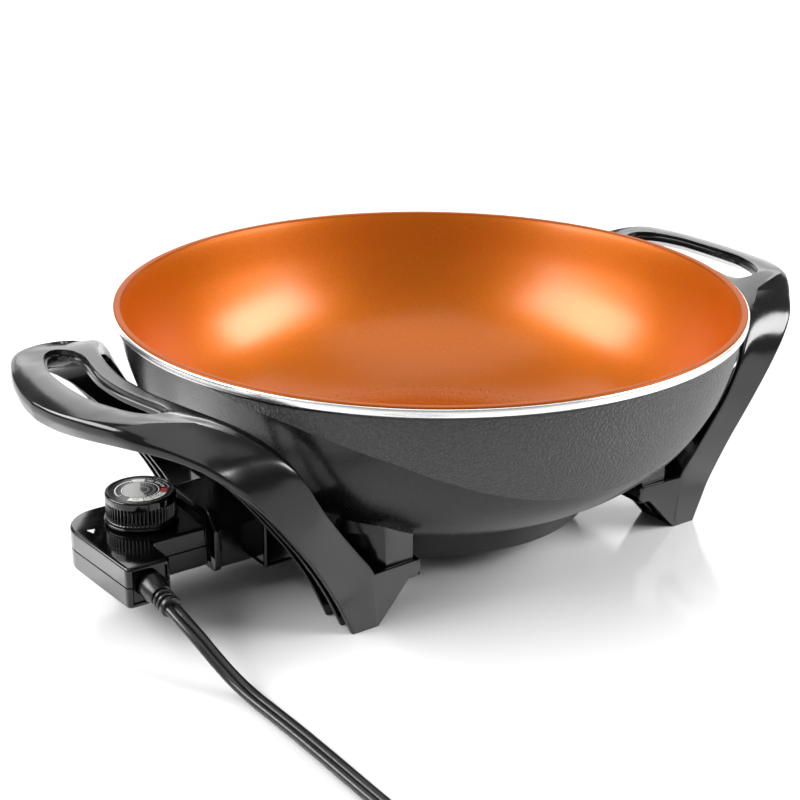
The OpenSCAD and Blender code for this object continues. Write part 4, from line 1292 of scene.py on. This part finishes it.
# open arc opposite the scale, with a short tick at each end
annulus(11.9, 12.45, 86, 186, 1)
annulus(10.6, 12.45, 183.6, 186, 1)
annulus(10.6, 12.45, 86, 88.4, 1)
# white scale blocks with a coloured mark
annulus(9.9, 12.9, 52, 82, 1)
for a0, a1 in ((-66, -46), (-87, -68), (-108, -89), (-146, -110)):
    annulus(9.9, 13.3, a0, a1, 1)
annulus(10.0, 13.1, -42, -24, 2)
for a in range(-20, 50, 6):
    annulus(13.4, 14.1, a - 0.5, a + 0.5, 1)


def number(text, angle, r, height, idx):
    cu = bpy.data.curves.new("digits", "FONT")
    cu.body = text
    cu.size = height * S
    cu.align_x = "CENTER"
    cu.align_y = "CENTER"
    cu.extrude = 0.02 * S
    ob = bpy.data.objects.new("digits", cu)
    scene.collection.objects.link(ob)
    bpy.context.view_layer.update()
    dg = bpy.context.evaluated_depsgraph_get()
    me = bpy.data.meshes.new_from_object(ob.evaluated_get(dg))
    bpy.data.objects.remove(ob)
    bpy.data.curves.remove(cu)
    a = math.radians(angle)
    me.transform(Matrix.Translation(((DX + r * math.cos(a)) * S, r * math.sin(a) * S, z1 * S)) @ Matrix.Rotation(a + math.pi / 2, 4, "Z"))
    me.materials.clear()
    for m in FM:
        me.materials.append(m)
    me.polygons.foreach_set("material_index", np.full(len(me.polygons), idx, np.int32))
    o2 = bpy.data.objects.new("digits", me)
    scene.collection.objects.link(o2)
    return o2


for text, angle, idx in (("200", -128, 0), ("250", -98.5, 0), ("300", -77.5, 0), ("350", -56, 0), ("400", -8, 1), ("425", 14, 1), ("450", 36, 1)):
    marks.append(number(text, angle, 11.5, 2.4, idx))
face = join("dial_scale", marks, FM)
done(face, "dial", "dial_print", "dial_face", angle=40, weighted=False)

# ---------------------------------------------------------------- floor, light
def floor_piece():
    m, nt, p, co = material("studio_floor")
    f = noise(nt, co, 3, 2, 0.5)
    nt.links.new(ramp(nt, f, [(0.3, (0.74, 0.74, 0.74)), (0.7, (0.757, 0.757, 0.757))]), p.inputs["Base Color"])
    p.inputs["Roughness"].default_value = 0.13
    p.inputs["Specular IOR Level"].default_value = 0.45
    n = 24
    pts = [(-9000 + 18000 * i / n, -9000 + 18000 * j / n, 0.0) for j in range(n + 1) for i in range(n + 1)]
    fs = [(j * (n + 1) + i, j * (n + 1) + i + 1, (j + 1) * (n + 1) + i + 1, (j + 1) * (n + 1) + i) for j in range(n) for i in range(n)]
    ob = raw("studio_floor", pts, fs, [m])


floor_piece()


def softbox(name, at, to, size, power, size_y=None, spread=180):
    li = bpy.data.lights.new(name, "AREA")
    li.shape = "RECTANGLE"
    li.size = size
    li.size_y = size_y or size
    li.energy = power
    li.spread = math.radians(spread)
    ob = bpy.data.objects.new(name, li)
    ob.location = at
    d = Vector(to) - Vector(at)
    ob.rotation_euler = d.to_track_quat("-Z", "Y").to_euler()
    scene.collection.objects.link(ob)
    return ob


softbox("right_box", (1.10, -0.92, 0.88), (0, 0, 0.08), 1.25, 35, 0.58)
softbox("left_box", (-1.05, 0.50, 0.75), (0, 0, 0.08), 1.25, 28, 0.58)
softbox("left_low", (-0.275, 0.14, 0.45), (-0.258, 0.08, 0), 0.06, 0.18, 0.06, 26)
softbox("ceiling", (-0.25, -0.33, 2.4), (-0.25, -0.33, 0), 2.4, 27, 2.4)
softbox("back_panel", (2.0, 2.7, 2.6), (1.2, 1.6, 0), 4.5, 97, 3.0)
softbox("back_wall", (3.2, 4.3, 1.2), (0, 0, 0.4), 9.0, 102, 2.6)

world = bpy.data.worlds.new("studio")
scene.world = world
world.use_nodes = True
bg = world.node_tree.nodes["Background"]
bg.inputs["Color"].default_value = (1, 1, 1, 1)
bg.inputs["Strength"].default_value = 0.20
scene.view_settings.view_transform = "Standard"
